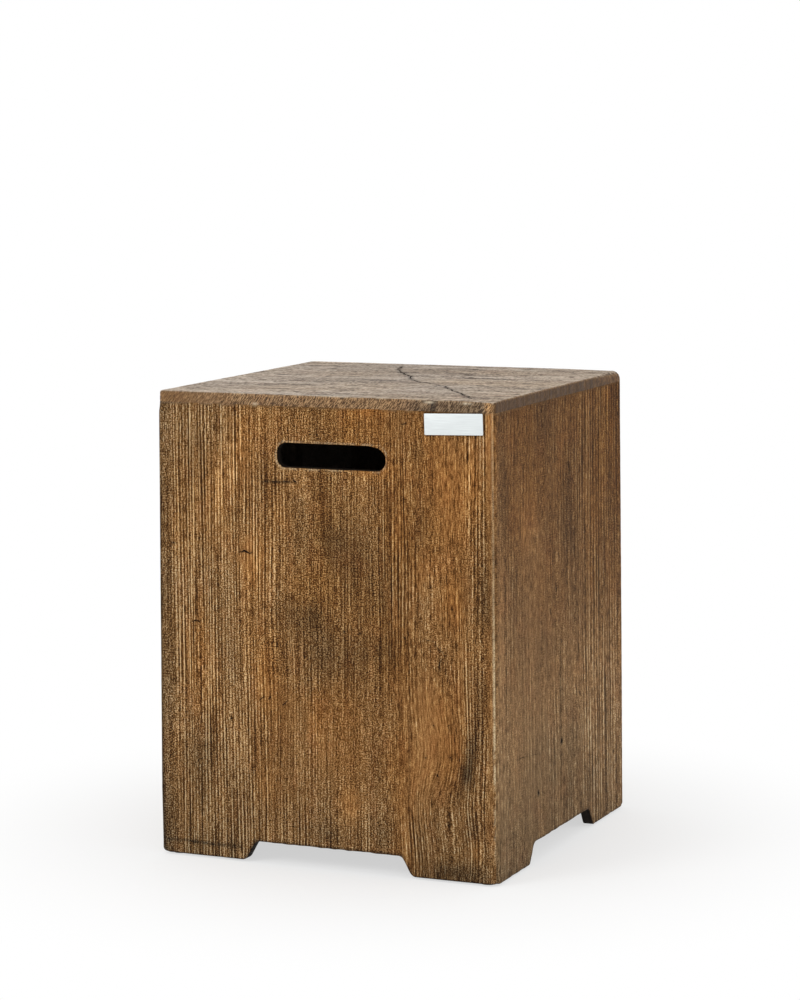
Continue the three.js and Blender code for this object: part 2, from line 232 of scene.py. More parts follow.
# Each wall is worked out in the front position and turned to its side by quarter turns.
# Marks are (across, up) in millimetres on the wall, seen from outside. Profiles are places and values
# joined by straight lines: from left to right how crisp the brushed lines are, how smooth the wall
# is, how warm the stain and how light it is, its dark ends being painted shade on the rounded upright
# edges, and from the foot upwards how light, with painted shade that darkens the right wall towards
# its top, and how warm.
# Combed and sanded patches, stains and glows are soft spots: place, reach across, reach up and
# strength. So are knots, which lead the grain round them, and bends, which lean it. A crack is its
# points, half its width and its depth. drift is how far the stain wanders between warm and cool,
# and slot_dip how far the slot's upper right corner is cut down.
WALLS = {
    "front": {
        "turns": 0,
        "seed": 11,
        "slot": 9.5,
        "slot_dip": 3.0,
        "drift": 0.25,
        "notch": 2.5,
        "pitch": 1.0,
        "crisp": ((-200, -190, -180, -172, -110, -80, -40, 60, 100, 160, 166, 184, 188, 200),
                  (0.0, 0.1, 0.35, 1.0, 0.95, 0.75, 0.4, 0.3, 0.25, 0.3, 0.8, 0.8, 0.1, 0.0)),
        "calm": ((-200, -100, 60, 90, 160, 168, 184, 190, 200),
                 (0.0, 0.0, 0.1, 0.6, 0.6, 0.2, 0.2, 0.7, 0.7)),
        "warmth": ((-200, -180, -165, -110, -70, 90, 110, 160, 168, 184, 190, 200),
                   (-0.1, 0.05, 0.1, 0.05, 0.3, 0.45, 0.25, 0.2, 0.05, 0.05, 0.1, 0.1)),
        # painted shade: the tone's dark left end, where the rounded edge turns away from the light
        "tone": ((-200, -198, -196, -193, -184, -176, -90, 60, 160, 168, 184, 188, 193, 200),
                 (-1.9, -1.7, -1.1, -0.6, -0.38, -0.12, -0.05, -0.1, -0.01, -0.08, -0.13, 0.0, 0.1, 0.1)),
        "rise": ((0, 12, 60, 130, 484, 492, 501), (-0.36, -0.18, -0.1, 0.02, 0.02, -0.1, -0.2)),
        "combed": ((104, 34, 12, 34, 1.0), (-60, 40, 30, 30, 0.3), (90, 340, 24, 110, 0.6)),
        "sanded": ((122, 140, 26, 50, 0.9), (110, 205, 22, 30, 0.4), (193, 470, 8, 60, 0.9),
                   (130, 420, 24, 60, 0.4), (40, 490, 60, 14, 0.3), (-55, 175, 26, 24, 0.6),
                   (10, 130, 80, 70, 0.5), (194, 280, 6, 160, 0.8), (-88, 341, 13, 20, 1.0)),
        "blush": ((0, 60, 120, 200, 300, 513), (-0.35, -0.25, 0.0, 0.0, 0.08, 0.08)),
        "stains": ((-60, 419, 11, 1.2, 1.1), (-42, 420, 8, 1.2, 0.9), (14, 360, 38, 30, 0.6),
                   (40, 325, 56, 44, 0.35), (-26, 278, 26, 24, 0.7),
                   (-4, 262, 20, 40, 0.3), (62, 246, 34, 20, 0.45), (10, 228, 50, 28, 0.4),
                   (66, 300, 26, 44, 0.25), (2, 455, 22, 40, 0.45), (-72, 432, 10, 44, 0.35),
                   (-150, 450, 16, 54, 0.35), (-148, 120, 28, 30, 0.45), (-110, 225, 10, 44, 0.4),
                   (-108, 66, 22, 44, 0.3), (110, 375, 12, 24, 0.4), (110, 458, 10, 12, 0.4),
                   (186, 330, 8, 60, 0.5), (184, 215, 10, 36, 0.45), (170, 215, 8, 20, 0.25),
                   (140, 236, 8, 14, 0.25), (178, 172, 7, 22, 0.55), (171, 144, 7, 18, 0.6),
                   (163, 118, 9, 14, 0.8), (154, 98, 9, 14, 0.5), (150, 12, 34, 10, 0.8),
                   (172, 60, 8, 16, 0.35), (166, 128, 9, 26, 0.4), (70, 45, 14, 22, 0.45),
                   (0, 40, 26, 14, 0.35), (-148, 16.5, 46, 1.4, 0.9), (-112, 18, 16, 12, 0.25),
                   (190, 290, 8, 26, 0.4), (190, 150, 8, 24, 0.3), (8, 405, 16, 20, 0.25),
                   (60, 190, 20, 50, 0.25), (60, 120, 16, 40, 0.25), (-60, 55, 20, 14, 0.35)),
        "glows": ((-96, 436, 18, 46, 1.1), (-84, 338, 20, 30, 1.2), (-70, 203, 12, 34, 0.9),
                  (-126, 395, 16, 46, 0.6), (-30, 418, 12, 12, 0.5), (192, 500, 6, 16, 1.6),
                  (193, 470, 6, 34, 0.9),
                  (152, 430, 24, 46, 0.9), (172, 440, 8, 50, 1.2), (130, 172, 20, 46, 1.0),
                  (114, 112, 16, 30, 0.6), (62, 438, 22, 12, 1.2), (-28, 441, 10, 8, 0.7),
                  (-144, 205, 18, 40, 0.5), (-148, 280, 12, 26, 0.5), (176, 35, 6, 12, 1.5),
                  (30, 74, 14, 18, 1.3), (110, 190, 16, 24, 0.4),
                  (-72, 92, 12, 20, 0.5), (-150, 44, 12, 20, 0.5), (-8, 160, 10, 22, 0.6),
                  (-50, 384, 12, 18, 0.5), (152, 376, 14, 26, 0.6), (150, 300, 12, 22, 0.5),
                  (112, 324, 10, 16, 0.6), (50, 500, 24, 8, 0.9)),
        "knots": ((145, 64, 8, 12, 0.45), (-112, 160, 5, 8, 0.7), (136, 245, 7, 16, 0.35)),
        "bends": ((130, 110, 30, 46, 0.28), (170, 60, 16, 40, -0.12)),
        "cracks": (
            (((-99, 341.5), (-93, 342.5), (-88, 340.5), (-84, 341.5)), 1.3, 2.4),
            (((-72, 418), (-68, 418.5), (-64, 418)), 0.6, 0.9),
            (((-60, 419), (-55, 419.5), (-50, 419)), 0.6, 0.9),
            (((-47, 420), (-42, 419.5), (-38, 420.5)), 0.6, 0.9),
            (((-35, 421), (-31, 419.5)), 1.1, 1.6),
            (((-181, 347.5), (-178, 346.5)), 1, 1.6),
            (((-159, 262), (-154, 263.5), (-148, 262)), 0.7, 1.8),
            (((-77, 180.5), (-74, 183), (-71, 185.5)), 0.8, 2),
            (((-67, 182), (-63, 185.5)), 0.7, 2),
            (((-50, 177), (-44, 182)), 0.7, 2),
            (((117, 260), (121, 258.5), (125, 259)), 0.6, 1),
            (((128.5, 255), (132.5, 250), (136.5, 248), (141, 243.5)), 0.6, 1),
            (((121.5, 250), (126, 247)), 0.5, 0.9),
            (((136.5, 241), (142, 236.5)), 0.5, 0.9),
            (((135, 240), (133.5, 234), (134, 227)), 0.8, 1.4),
            (((150.5, 173.5), (148.5, 171), (143.5, 169), (145.5, 163), (142.5, 157)), 0.5, 1),
            (((126, 168.5), (128, 168)), 0.9, 1.8),
            (((117, 133), (118.5, 133)), 0.9, 1.8),
            (((145, 135.5), (146.5, 135)), 1, 2),
            (((130, 115), (132.5, 114)), 0.9, 1.8),
            (((123.5, 316), (125, 315)), 0.9, 2),
            (((23, 262), (25, 261.5)), 0.8, 1.8),
            (((41.5, 262), (43, 261)), 0.8, 1.8),
            (((93, 260), (95.5, 259)), 0.8, 1.8),
            (((91.5, 486), (97.5, 488)), 0.6, 1.6),
            (((149, 294), (148.5, 292)), 0.8, 1.8),
            (((166, 461.5), (165.5, 448.5)), 0.6, 1.6),
            (((149, 435.5), (149.5, 419.5), (149, 403.5)), 0.4, 0.7),
            (((99, 177), (99.5, 149), (99, 119), (98.5, 85)), 0.4, 0.8),
            (((144, 66), (145.5, 63.5), (144.5, 61)), 0.9, 1.4),
            (((-192, 16.5), (-166, 17.5), (-137, 15.5), (-102, 16)), 0.5, 0.6),
            (((-114, 156.5), (-110.5, 158), (-112, 162)), 0.8, 1.8),
            (((101, 75), (104, 59), (110, 43), (111, 25)), 0.5, 0.8),
            (((108, 65), (113, 51), (118, 39)), 0.4, 0.6),
        ),
    },
    "right": {
        "turns": 1,
        "seed": 23,
        "drift": 0.12,
        "notch": -5.5,
        "pitch": 2.3,
        "crisp": ((-200, -190, -150, -60, 20, 60, 80, 150, 186, 200),
                  (0.05, 0.2, 0.25, 0.2, 0.35, 0.45, 0.8, 0.75, 0.5, 0.0)),
        "calm": ((-200, 60, 100, 200), (0.6, 0.6, 0.4, 0.4)),
        "warmth": ((-200, -180, -150, -40, 60, 110, 200), (-0.2, -0.2, 0.0, 0.0, 0.05, 0.2, 0.35)),
        # painted shade: the tone's dark right end, on the rounded edge
        "tone": ((-200, -196, -190, -178, -150, -60, 40, 80, 190, 196, 200),
                 (0.46, 0.36, 0.27, 0.18, 0.08, 0.05, -0.02, -0.03, -0.13, -0.4, -0.9)),
        # painted shade: the right wall grows darker towards its top
        "rise": ((0, 20, 120, 180, 240, 330, 420, 480, 513),
                 (-0.05, 0.3, 0.5, 0.3, -0.16, -0.31, -0.42, -0.5, -0.75)),
        "sanded": ((-90, 240, 100, 320, 0.75), (-110, 90, 90, 80, 0.3)),
        "blush": ((0, 120, 200, 280, 400, 513), (-0.75, -0.6, -0.2, 0.15, 0.5, 0.65)),
        "stains": ((-174, 420, 14, 90, 0.2), (36, 370, 34, 44, 0.2), (-60, 470, 60, 30, 0.15),
                   (20, 56, 16, 26, 0.5), (-148, 290, 14, 50, 0.35), (-36, 150, 9, 60, 0.1),
                   (10, 380, 20, 50, 0.3), (40, 430, 40, 30, 0.15), (186, 480, 14, 40, 0.2),
                   (130, 300, 16, 60, 0.25), (160, 140, 30, 60, 0.25),
                   (190, 360, 14, 60, 0.2), (-6, 119, 3.4, 2.6, 2.2), (-78, 76, 3, 2.4, 1.8),
                   (24, 336, 16, 30, 0.25), (-7.5, 185, 1.6, 44, 0.5)),
        "glows": ((-104, 376, 34, 36, 0.5), (-70, 300, 22, 90, 0.25), (-184, 230, 12, 70, 0.6),
                  (-130, 130, 50, 60, 0.2),
                  (-188, 80, 16, 60, 1.2), (20, 310, 14, 24, 0.4), (-10, 60, 20, 30, 0.4),
                  (-196, 460, 8, 40, 0.6), (70, 90, 16, 30, 0.3),
                  (100, 110, 20, 40, 0.25), (190, 90, 8, 60, 0.2)),
        "knots": ((10, 350, 14, 22, 0.35),),
        "bends": ((-60, 300, 40, 90, 0.04),),
        "cracks": (
            (((-142, 125.5), (-124, 124.5), (-106, 122.5)), 0.5, 1.0),
            (((-104, 122.5), (-86, 120.5), (-68, 118)), 0.45, 0.9),
            (((-6.5, 121.5), (-5.5, 116.5)), 2.0, 2.4),
            (((-78.5, 78), (-78, 73.5)), 1.6, 2.4),
            (((-102.5, 77), (-100.5, 76)), 1.1, 2.0),
            (((-8.5, 233), (-8, 190), (-7, 136)), 1.0, 1.0),
            (((-7, 108), (-8, 80), (-10, 52)), 1.0, 1.0),
            (((18.5, 427), (24, 421), (23, 413)), 0.8, 1.8),
        ),
    },
    "back": {
        "turns": 2,
        "seed": 37,
        "slot": 0.0,
        "slot_dip": 0.0,
        "drift": 0.25,
        "notch": 0.0,
        "pitch": 1.1,
        "crisp": ((-200, -188, -150, -70, -10, 80, 120, 176, 190, 200),
                  (0.0, 0.3, 0.5, 0.9, 0.95, 0.6, 0.3, 0.5, 0.2, 0.0)),
        "calm": ((-200, -60, 100, 160, 200), (0.5, 0.1, 0.1, 0.5, 0.4)),
        "warmth": ((-200, -100, 40, 120, 200), (0.2, 0.3, 0.0, 0.1, 0.2)),
        # painted shade: the tone's dark ends, on the rounded edges
        "tone": ((-200, -197, -192, 192, 197, 200), (-0.9, -0.4, 0.0, 0.0, -0.4, -0.9)),
        "rise": ((0, 12, 60, 130, 480, 513), (-0.45, -0.2, -0.1, 0.0, 0.0, -0.15)),
        "blush": ((0, 100, 200, 513), (-0.15, -0.1, 0.1, 0.2)),
        "stains": ((-120, 380, 30, 40, 0.45), (60, 180, 40, 40, 0.45), (130, 320, 26, 50, 0.4),
                   (-30, 90, 50, 30, 0.3)),
        "glows": ((-60, 240, 30, 40, 0.5), (100, 440, 40, 20, 0.4), (-140, 120, 24, 40, 0.6)),
        "knots": ((-128, 210, 13, 22, 0.85), (92, 118, 10, 16, 0.8), (30, 330, 7, 10, 0.7)),
        "bends": ((-130, 260, 30, 46, 0.25),),
        "cracks": (
            (((-133, 206), (-128, 211), (-123, 214)), 1.0, 2.2),
            (((88, 117), (94, 119.5), (97, 116)), 1.0, 2.2),
            (((27, 328), (32, 331.5)), 1.0, 2.0),
            (((60, 402), (76, 403.5), (90, 401.5)), 0.5, 1.7),
            (((-172, 300), (-171, 280), (-172.5, 262)), 0.7, 1.8),
        ),
    },
    "left": {
        "turns": 3,
        "seed": 53,
        "drift": 0.12,
        "notch": 0.0,
        "pitch": 1.3,
        "crisp": ((-200, -188, -120, -30, 50, 110, 160, 190, 200),
                  (0.0, 0.35, 0.5, 0.8, 0.4, 0.3, 0.5, 0.3, 0.0)),
        "calm": ((-200, -40, 80, 200), (0.3, 0.1, 0.4, 0.2)),
        "warmth": ((-200, -60, 60, 200), (0.0, -0.1, 0.05, -0.1)),
        # painted shade: the tone's dark ends, on the rounded edges
        "tone": ((-200, -197, -192, 192, 197, 200), (-0.9, -0.4, 0.0, 0.0, -0.4, -0.9)),
        "rise": ((0, 20, 120, 330, 513), (-0.3, -0.05, 0.1, -0.2, -0.5)),
        "blush": ((0, 120, 300, 513), (-0.2, -0.1, 0.15, 0.3)),
        "stains": ((-90, 300, 40, 60, 0.35), (70, 420, 40, 30, 0.4), (120, 160, 30, 40, 0.35)),
        "glows": ((-20, 180, 30, 40, 0.4), (10, 380, 40, 40, 0.3), (150, 300, 20, 50, 0.4)),
        "knots": ((-52, 352, 12, 20, 0.8), (118, 232, 9, 14, 0.75)),
        "bends": ((110, 280, 26, 40, -0.2),),
        "cracks": (
            (((-57, 350), (-51, 353), (-48, 356)), 1.0, 2.2),
            (((114, 230), (120, 233.5)), 1.0, 2.0),
            (((-150, 120), (-130, 121.5), (-104, 119)), 0.5, 1.7),
        ),
    },
}

# The split that runs across the tabletop, and shorter ones near it
TOP_CRACKS = (
    (((-66, 163), (-60, 148), (-56, 131), (-43, 110)), 1.8, 3.0),
    (((-43, 109), (-30, 88), (-14, 62), (2, 35), (11, 16)), 2.0, 3.6),
    (((12, 15), (17, 6), (39, -15), (58, -30)), 1.9, 3.4),
    (((59, -31), (76, -45), (94, -72), (112, -98), (132, -126), (164, -172)), 1.8, 3.2),
    (((-118, -50), (-100, -37), (-80, -43)), 1.3, 1.8),
    (((-18, -154), (-7, -141), (-4, -128)), 1.4, 1.8),
    (((95, 97), (121, 108), (150, 104)), 1.3, 1.8),
    (((-160, -99), (-137, -94), (-118, -101)), 1.3, 1.8),
    (((-58, 38), (-42, 47), (-20, 45)), 1.3, 1.6),
    (((-12, 146), (14, 155), (44, 148)), 1.3, 1.6),
    (((61, 46), (83, 54), (110, 48)), 1.3, 1.6),
    (((20, 96), (52, 90), (74, 93)), 1.2, 1.6),
    (((-120, 84), (-96, 90), (-70, 86)), 1.2, 1.6),
)
TOP_STRAY = 2.2
# Where the tabletop's grain swirls, as bends do on a wall
TOP_SWIRLS = ((150, 96, 34, 26, 0.9), (-96, 20, 30, 24, 0.9))

# Chips out of the plate's upper edge on the front: place along x, half length, depth
LIP_CHIPS = ((24, 7, 0.9), (126, 9, 1.8), (158, 6, 0.8), (-120, 5, 0.7))
# How far the plate's front right corner is worn down, and how far round it
CORNER_WEAR = 1.2
CORNER_WEAR_REACH = 22
# Pale chips: one at the seam on the front (place, reach across and up), others on the lip by place
PALE_CHIP = (-79, SEAM_LEVEL + 1, 3.2, 1.5)
LIP_PALE = (123, 165)
LIP_PALE_SHAPE = (2.5, 5, 1.2)

# Wear, painted shade and dark marks. Two numbers are where a mark starts to fade in or out and
# where it is full or gone, or its middle and its reach.
# The rubbed line up the front right edge: brightest height, place in from the edge, start above
# the foot, and where it grows broken
RUBBED_HEIGHT, RUBBED_LINE = (170, 130), (3.0, 1.3)
RUBBED_FOOT, RUBBED_SOLID = (20, 40), (190, 100)
# The rubbed rim of a handle slot: place beside it, and depth behind the face
SLOT_RUBBED, SLOT_RUBBED_DEEP = (1.5, 0.6), (1.8, 0.4)
# Painted shadow beside the name plate, a dark line under the tabletop's edge, and painted shade at the foot
# and along the cut-outs' edges
PLATE_SHADOW, FOOT_EDGE_SHADE = (2.6, 0.8), (2.6, 0.4)
SEAM_DARK_LEFT, SEAM_DARK_RIGHT, SEAM_DARK_LINE = (-90, -75), (60, 0), (2, 1.1)
# The plate's front side, across: its darker left end, over the name plate, its pale right end
SIDE_LEFT, SIDE_OVER_PLATE, SIDE_STRIP = (-135, -185), (80, 110), (184, 187)
# The plate's lip: where it is brightest, and how far down the rubbed line lies
LIP_BRIGHT, LIP_LINE = (5, 30), (0.3, 0.7)
# In from the plate's outline: where its face starts, how far its sides reach and where the band
# of end grain starts; further down than BAND_SURE all is band
FACE_START, SIDE_REACH = (4.5, 7.0), 4
BAND_START, BAND_SURE = (0.8, 2.2), 4


def outer_half(level):
    """Half the outer width: it falls by the draft from the feet to the top."""
    return BASE_HALF - LEAN * (level - FOOT_LEVEL)


# Repeatable noise


def cell_value(column, row, seed):
    """A number from 0 to 1 for each whole-number cell: the cell's place, multiplied and shifted."""
    mixed = (column.astype(np.int64).astype(np.uint64) * np.uint64(374761393)
             + row.astype(np.int64).astype(np.uint64) * np.uint64(668265263)
             + np.uint64(seed * 2246822519))
    mixed &= np.uint64(0xFFFFFFFF)
    mixed = ((mixed ^ (mixed >> np.uint64(13))) * np.uint64(1274126177)) & np.uint64(0xFFFFFFFF)
    mixed ^= mixed >> np.uint64(16)
    return mixed / 4294967295.0


def cloud(x, y, seed):
    """Smooth noise from -1 to 1: cell values, joined by an S-curve along x and along y."""
    x, y = np.broadcast_arrays(np.asarray(x, float), np.asarray(y, float))
    column, row = np.floor(x), np.floor(y)
    across, up = x - column, y - row
    across = across * across * (3 - 2 * across)
    up = up * up * (3 - 2 * up)
    low = cell_value(column, row, seed) * (1 - across) + cell_value(column + 1, row, seed) * across
    high = (cell_value(column, row + 1, seed) * (1 - across)
            + cell_value(column + 1, row + 1, seed) * across)
    return 2 * (low * (1 - up) + high * up) - 1


def clouds(x, y, seed, layers=3):
    """Layers of smooth noise, each twice as fine and half as strong as the one before."""
    total = sum(cloud(x * 2 ** k, y * 2 ** k, seed + k) / 2 ** k for k in range(layers))
    return total / (2 - 2.0 ** (1 - layers))


def smooth(low, high, value):
    """S-curve from 0 at low to 1 at high."""
    share = np.clip((value - low) / (high - low), 0, 1)
    return share * share * (3 - 2 * share)


def wall_noise(kind, x, y, seed, pitch=1):
    """One kind of noise on the wall with this seed, its cells widened by the pitch."""
    width, height, number, layers = WALL_NOISE[kind]
    return clouds(x / (width * pitch), y / height, seed + number, layers)


def top_noise(kind, x, y):
    """One kind of noise on the tabletop."""
    width, height, number, layers = TOP_NOISE[kind]
    return clouds(x / width, y / height, TOP_SEED + number, layers)


def hump(value, middle, reach):
    """Bell curve: 1 at the middle, fading to both sides over the reach."""
    return np.exp(-((value - middle) / reach) ** 2)


def bell(x, y, middle_x, middle_y, reach_x, reach_y):
    """Soft round spot: 1 at its middle, fading as a bell curve over its reach in x and in y."""
    return np.exp(-((x - middle_x) / reach_x) ** 2 - ((y - middle_y) / reach_y) ** 2)


def patches(x, y, spots):
    """Sum of soft round spots, each (x, y, reach in x, reach in y, strength)."""
    total = np.zeros(np.broadcast(x, y).shape)
    for *spot, strength in spots:
        total += strength * bell(x, y, *spot)
    return total


def unit(vectors):
    """The vectors, each brought to a length of 1."""
    return vectors / np.linalg.norm(vectors, axis=-1, keepdims=True)


# The cast grain


def crack_run(path, half_width, number, seed, stray):
    """Points along a crack, wandering to both sides of its path as smooth noise, with the way
    sideways at each point and the length so far."""
    path = np.array(path, float)
    lengths = np.concatenate([[0], np.cumsum(np.linalg.norm(np.diff(path, axis=0), axis=1))])
    run = np.linspace(0, lengths[-1], max(int(lengths[-1] / CRACK_STEP), 5))
    points = np.stack([np.interp(run, lengths, path[:, 0]), np.interp(run, lengths, path[:, 1])], -1)
    along = unit(np.gradient(points, axis=0))
    side = np.stack([-along[:, 1], along[:, 0]], -1)
    jagged = min(half_width, 0.9) * 0.9
    wander = jagged * cloud(run / 2.3, number, seed) + stray * cloud(run / 9, number, seed + 2)
    return points + side * wander[:, None], side, run


def near_cracks(x, y, cracks, seed, stray=0.0):
    """How near each point is to a crack: a bell curve round it, weaker where the crack is thin."""
    nearness = np.zeros(np.broadcast(x, y).shape)
    for number, (path, half_width, _) in enumerate(cracks):
        reach = half_width + 0.9
        most = min(0.25 + 0.6 * half_width, 1)
        points, _, _ = crack_run(path, half_width, number, seed, stray)
        for point_x, point_y in points:
            away = (x - point_x) ** 2 + (y - point_y) ** 2
            nearness = np.maximum(nearness, most * np.exp(-away / reach ** 2))
    return nearness


def wall_grain(wall, across, up):
    """What the brushed grain does at each point of a wall.

    The grain's own coordinate is the place across the wall, bent by slow waves, leant where there
    is a bend and led round the knots. Ridges and grooves are noise stretched along the wall on that
    coordinate, short and faint where the wall isn't crisp. Where it is, combed ridges run at a
    regular pitch, narrower than the grooves between them.
    """
    seed, pitch = wall["seed"], wall["pitch"]
    crisp = np.interp(across, *wall["crisp"])
    stray = (4 * wall_noise("stray", across, up, seed)
             + 1.2 * wall_noise("fine_stray", across, up, seed))
    lay = across + stray * (1 - 0.6 * crisp)
    for *bend, lean in wall["bends"]:
        lay = lay - lean * (up - bend[1]) * bell(across, up, *bend)
    halo = np.zeros(np.broadcast(across, up).shape)
    for *knot, pull in wall["knots"]:
        near = bell(across, up, *knot)
        lay = lay - pull * (across - knot[0]) * near
        halo = np.maximum(halo, near * pull)
    crisp = crisp + patches(across, up, wall.get("combed", ()))
    crisp = crisp + 0.3 * wall_noise("crisp", across, up, seed)
    crisp = np.clip(crisp, 0, 1) * (1 - 0.85 * halo)
    lay = lay + 1.4 * pitch * wall_noise("bow", lay, up, seed)
    number = lay / pitch + 40 * seed
    ridge = np.clip(np.sin(2 * math.pi * number / RIDGE_PITCH), RIDGE_START, 1) + RIDGE_START
    comb = crisp * (0.75 + 0.45 * wall_noise("comb", lay, up, seed, pitch))
    rough = 1 - 0.5 * np.clip(patches(across, up, wall.get("sanded", ())), 0, 1)
    streak, fibre, short, broad = (wall_noise(kind, lay, up, seed, pitch)
                                   for kind in ("streak", "fibre", "short", "broad"))
    crisp_ridge = 0.35 * streak + 0.25 * fibre + 0.1 * broad
    soft_ridge = 0.1 * streak + 0.2 * fibre + 0.4 * short + 0.1 * broad
    ridges = 0.45 * crisp * crisp_ridge + 0.33 * (1 - crisp) * soft_ridge
    grain = np.clip(0.5 + rough * ridges, 0, 1)
    return {"lay": number, "crisp": crisp, "grain": grain, "halo": halo, "comb": comb, "rough": rough,
            "high": np.clip(grain + 0.3 * comb * ridge, 0, 1)}


def wall_relief(grain, across, up, seed):
    """How deep each point lies behind the plain face: in the grooves, in broad dips and at knots,
    with grit between them and chips along the foot, and less along the upright edges."""
    from_edge = outer_half(up) - np.abs(across)
    crisp = grain["crisp"]
    relief = (0.6 * (1 - grain["high"]) * (0.35 + 0.65 * crisp)
              * smooth(1, 12, from_edge) * (0.3 + 0.7 * smooth(0.5, 4, SEAM_LEVEL - up)))
    relief = relief + 0.14 * (1 + wall_noise("dips", across, up, seed)) + 0.25 * grain["halo"] ** 3
    relief = relief + 0.1 * (1 + wall_noise("grit", across, up, seed)) * (1 - 0.6 * crisp)
    relief = relief * (0.35 + 0.65 * smooth(0, 6, from_edge))
    chipped = smooth(0.35, 0.8, wall_noise("chips", across, up, seed))
    relief = relief + 0.5 * chipped * (1 - smooth(0.5, 4, up - FOOT_LEVEL))
    return np.clip(relief, SHALLOWEST, DEEPEST)


def front_marks(across, up, shade):
    """The front's own marks: its right edge rubbed pale, most of all low down, a pale chip, painted
    shadow round the name plate and a dark line under the tabletop's edge. Gives the shade and the wear."""
    bright = 0.4 + 0.9 * hump(up, *RUBBED_HEIGHT)
    line = hump(outer_half(up) - np.abs(across), *RUBBED_LINE) * (across > 0)
    line = line * smooth(*RUBBED_FOOT, up)
    low = smooth(*RUBBED_SOLID, up)
    breaks = wall_noise("rubbed", across, up, WALLS["front"]["seed"])
    broken = 0.85 - 0.25 * low + (0.45 + 0.5 * low) * breaks
    worn = line * bright * np.clip(broken, 0, 1)
    beside = np.maximum(np.abs(across - PLATE_MIDDLE[0]) - PLATE_HALF[0],
                        np.abs(up - PLATE_MIDDLE[1]) - PLATE_HALF[1])
    # painted shadow round the name plate
    shade = shade - 0.6 * smooth(*PLATE_SHADOW, beside)
    # a dark line just under the tabletop's edge
    beneath = smooth(*SEAM_DARK_LEFT, across) * smooth(*SEAM_DARK_RIGHT, across)
    shade = shade - 0.5 * beneath * hump(SEAM_LEVEL - up, *SEAM_DARK_LINE)
    return shade, np.maximum(worn, 0.8 * bell(across, up, *PALE_CHIP))


def wall_surface(name, across, up):
    """The marks of one wall at each point: how deep it lies, and the values that colour it."""
    wall = WALLS[name]
    seed = wall["seed"]
    grain = wall_grain(wall, across, up)
    crisp, rough = grain["crisp"], grain["rough"]
    calm = np.interp(across, *wall["calm"])
    stain = patches(across, up, wall["stains"])
    glow = patches(across, up, wall["glows"])
    shade = 0.16 * wall_noise("stain", across, up, seed) - stain + 0.6 * glow
    shade = shade + 0.12 * wall_noise("stain_lines", across, up, seed)
    shade = shade + 0.1 * wall_noise("stain_spots", across, up, seed)
    shade = shade + np.interp(across, *wall["tone"]) + np.interp(up, *wall["rise"])
    worn = np.zeros(shade.shape)
    if name == "front":
        shade, worn = front_marks(across, up, shade)
    warm = np.interp(across, *wall["warmth"]) + np.interp(up, *wall["blush"]) + 0.1 * glow
    warm = warm + wall["drift"] * wall_noise("warmth", across, up, seed)
    patchy = wall_noise("patchy", across, up, seed)
    grit = 0.84 - 0.3 * crisp + 0.15 * patchy + 0.25 * stain - 0.25 * glow - 0.6 * calm
    fringe = (0.7 + wall_noise("fringe", across, up, seed)
              + 0.5 * wall_noise("fine_fringe", across, up, seed))
    return {
        "relief": wall_relief(grain, across, up, seed),
        "grain": grain["grain"],
        "lay": grain["lay"],
        "comb": 0.6 * grain["comb"],
        "line": rough * (0.14 + 0.3 * crisp),
        "fibre": rough * np.clip(0.4 + 0.1 * patchy, 0.1, 1),
        "grit": rough * np.clip(grit, 0.2, 1.2),
        "strand": rough * (0.12 + 0.3 * calm + 0.1 * crisp),
        "shade": shade,
        "warm": warm,
        "worn": worn,
        "band": 1 - smooth(-0.6, 0.8, SEAM_LEVEL - up - fringe),
    }


# Meshes


def make_mesh(name, points, quads, caps=()):
    """A mesh from points in millimetres, four-sided faces, and many-sided faces that close it."""
    loops = np.concatenate([np.asarray(quads).ravel(), *[np.asarray(cap) for cap in caps]])
    sizes = np.concatenate([np.full(len(quads), 4), [len(cap) for cap in caps]]).astype(np.int32)
    starts = np.concatenate([[0], np.cumsum(sizes)[:-1]]).astype(np.int32)
    mesh = bpy.data.meshes.new(name)
    mesh.vertices.add(len(points))
    mesh.vertices.foreach_set("co", (np.asarray(points) * MM).astype(np.float32).ravel())
    mesh.loops.add(len(loops))
    mesh.loops.foreach_set("vertex_index", loops.astype(np.int32))
    mesh.polygons.add(len(sizes))
    mesh.polygons.foreach_set("loop_start", starts)
    mesh.update(calc_edges=True)
    mesh.validate()
    return mesh


def make_piece(name, mesh):
    """An object at the origin that holds the mesh."""
    piece = bpy.data.objects.new(name, mesh)
    bpy.context.scene.collection.objects.link(piece)
    return piece


def bands(low, high):
    """Quads between loops of points and the loops above them, each going round anticlockwise."""
    return np.stack([low, np.roll(low, -1, 1), np.roll(high, -1, 1), high], -1).reshape(-1, 4)


def loft(rings):
    """Points, quads and caps of a closed solid through rings, lowest first, each anticlockwise."""
    index = np.arange(rings.shape[0] * rings.shape[1]).reshape(rings.shape[:2])
    return rings.reshape(-1, 3), bands(index[:-1], index[1:]), (index[0][::-1], index[-1])


def turned(points, quarter_turns):
    """Points turned about the upright axis by quarter turns, anticlockwise from above."""
    x, y, z = points[..., 0], points[..., 1], points[..., 2]
    for _ in range(quarter_turns % 4):
        x, y = -y, x
    return np.stack([x, y, z], -1)


def solid_piece(name, solid, quarter_turns=0):
    """A piece from a solid's points, quads and caps, turned to its side."""
    points, quads, caps = solid
    return make_piece(name, make_mesh(name, turned(points, quarter_turns), quads, caps))


def cutter_piece(name, solid, quarter_turns=0):
    """A solid to cut with, its faces turned to point outwards."""
    cutter = solid_piece(name, solid, quarter_turns)
    edit = bmesh.new()
    edit.from_mesh(cutter.data)
    bmesh.ops.triangulate(edit, faces=edit.faces[:])
    bmesh.ops.recalc_face_normals(edit, faces=edit.faces[:])
    edit.to_mesh(cutter.data)
    edit.free()
    return cutter


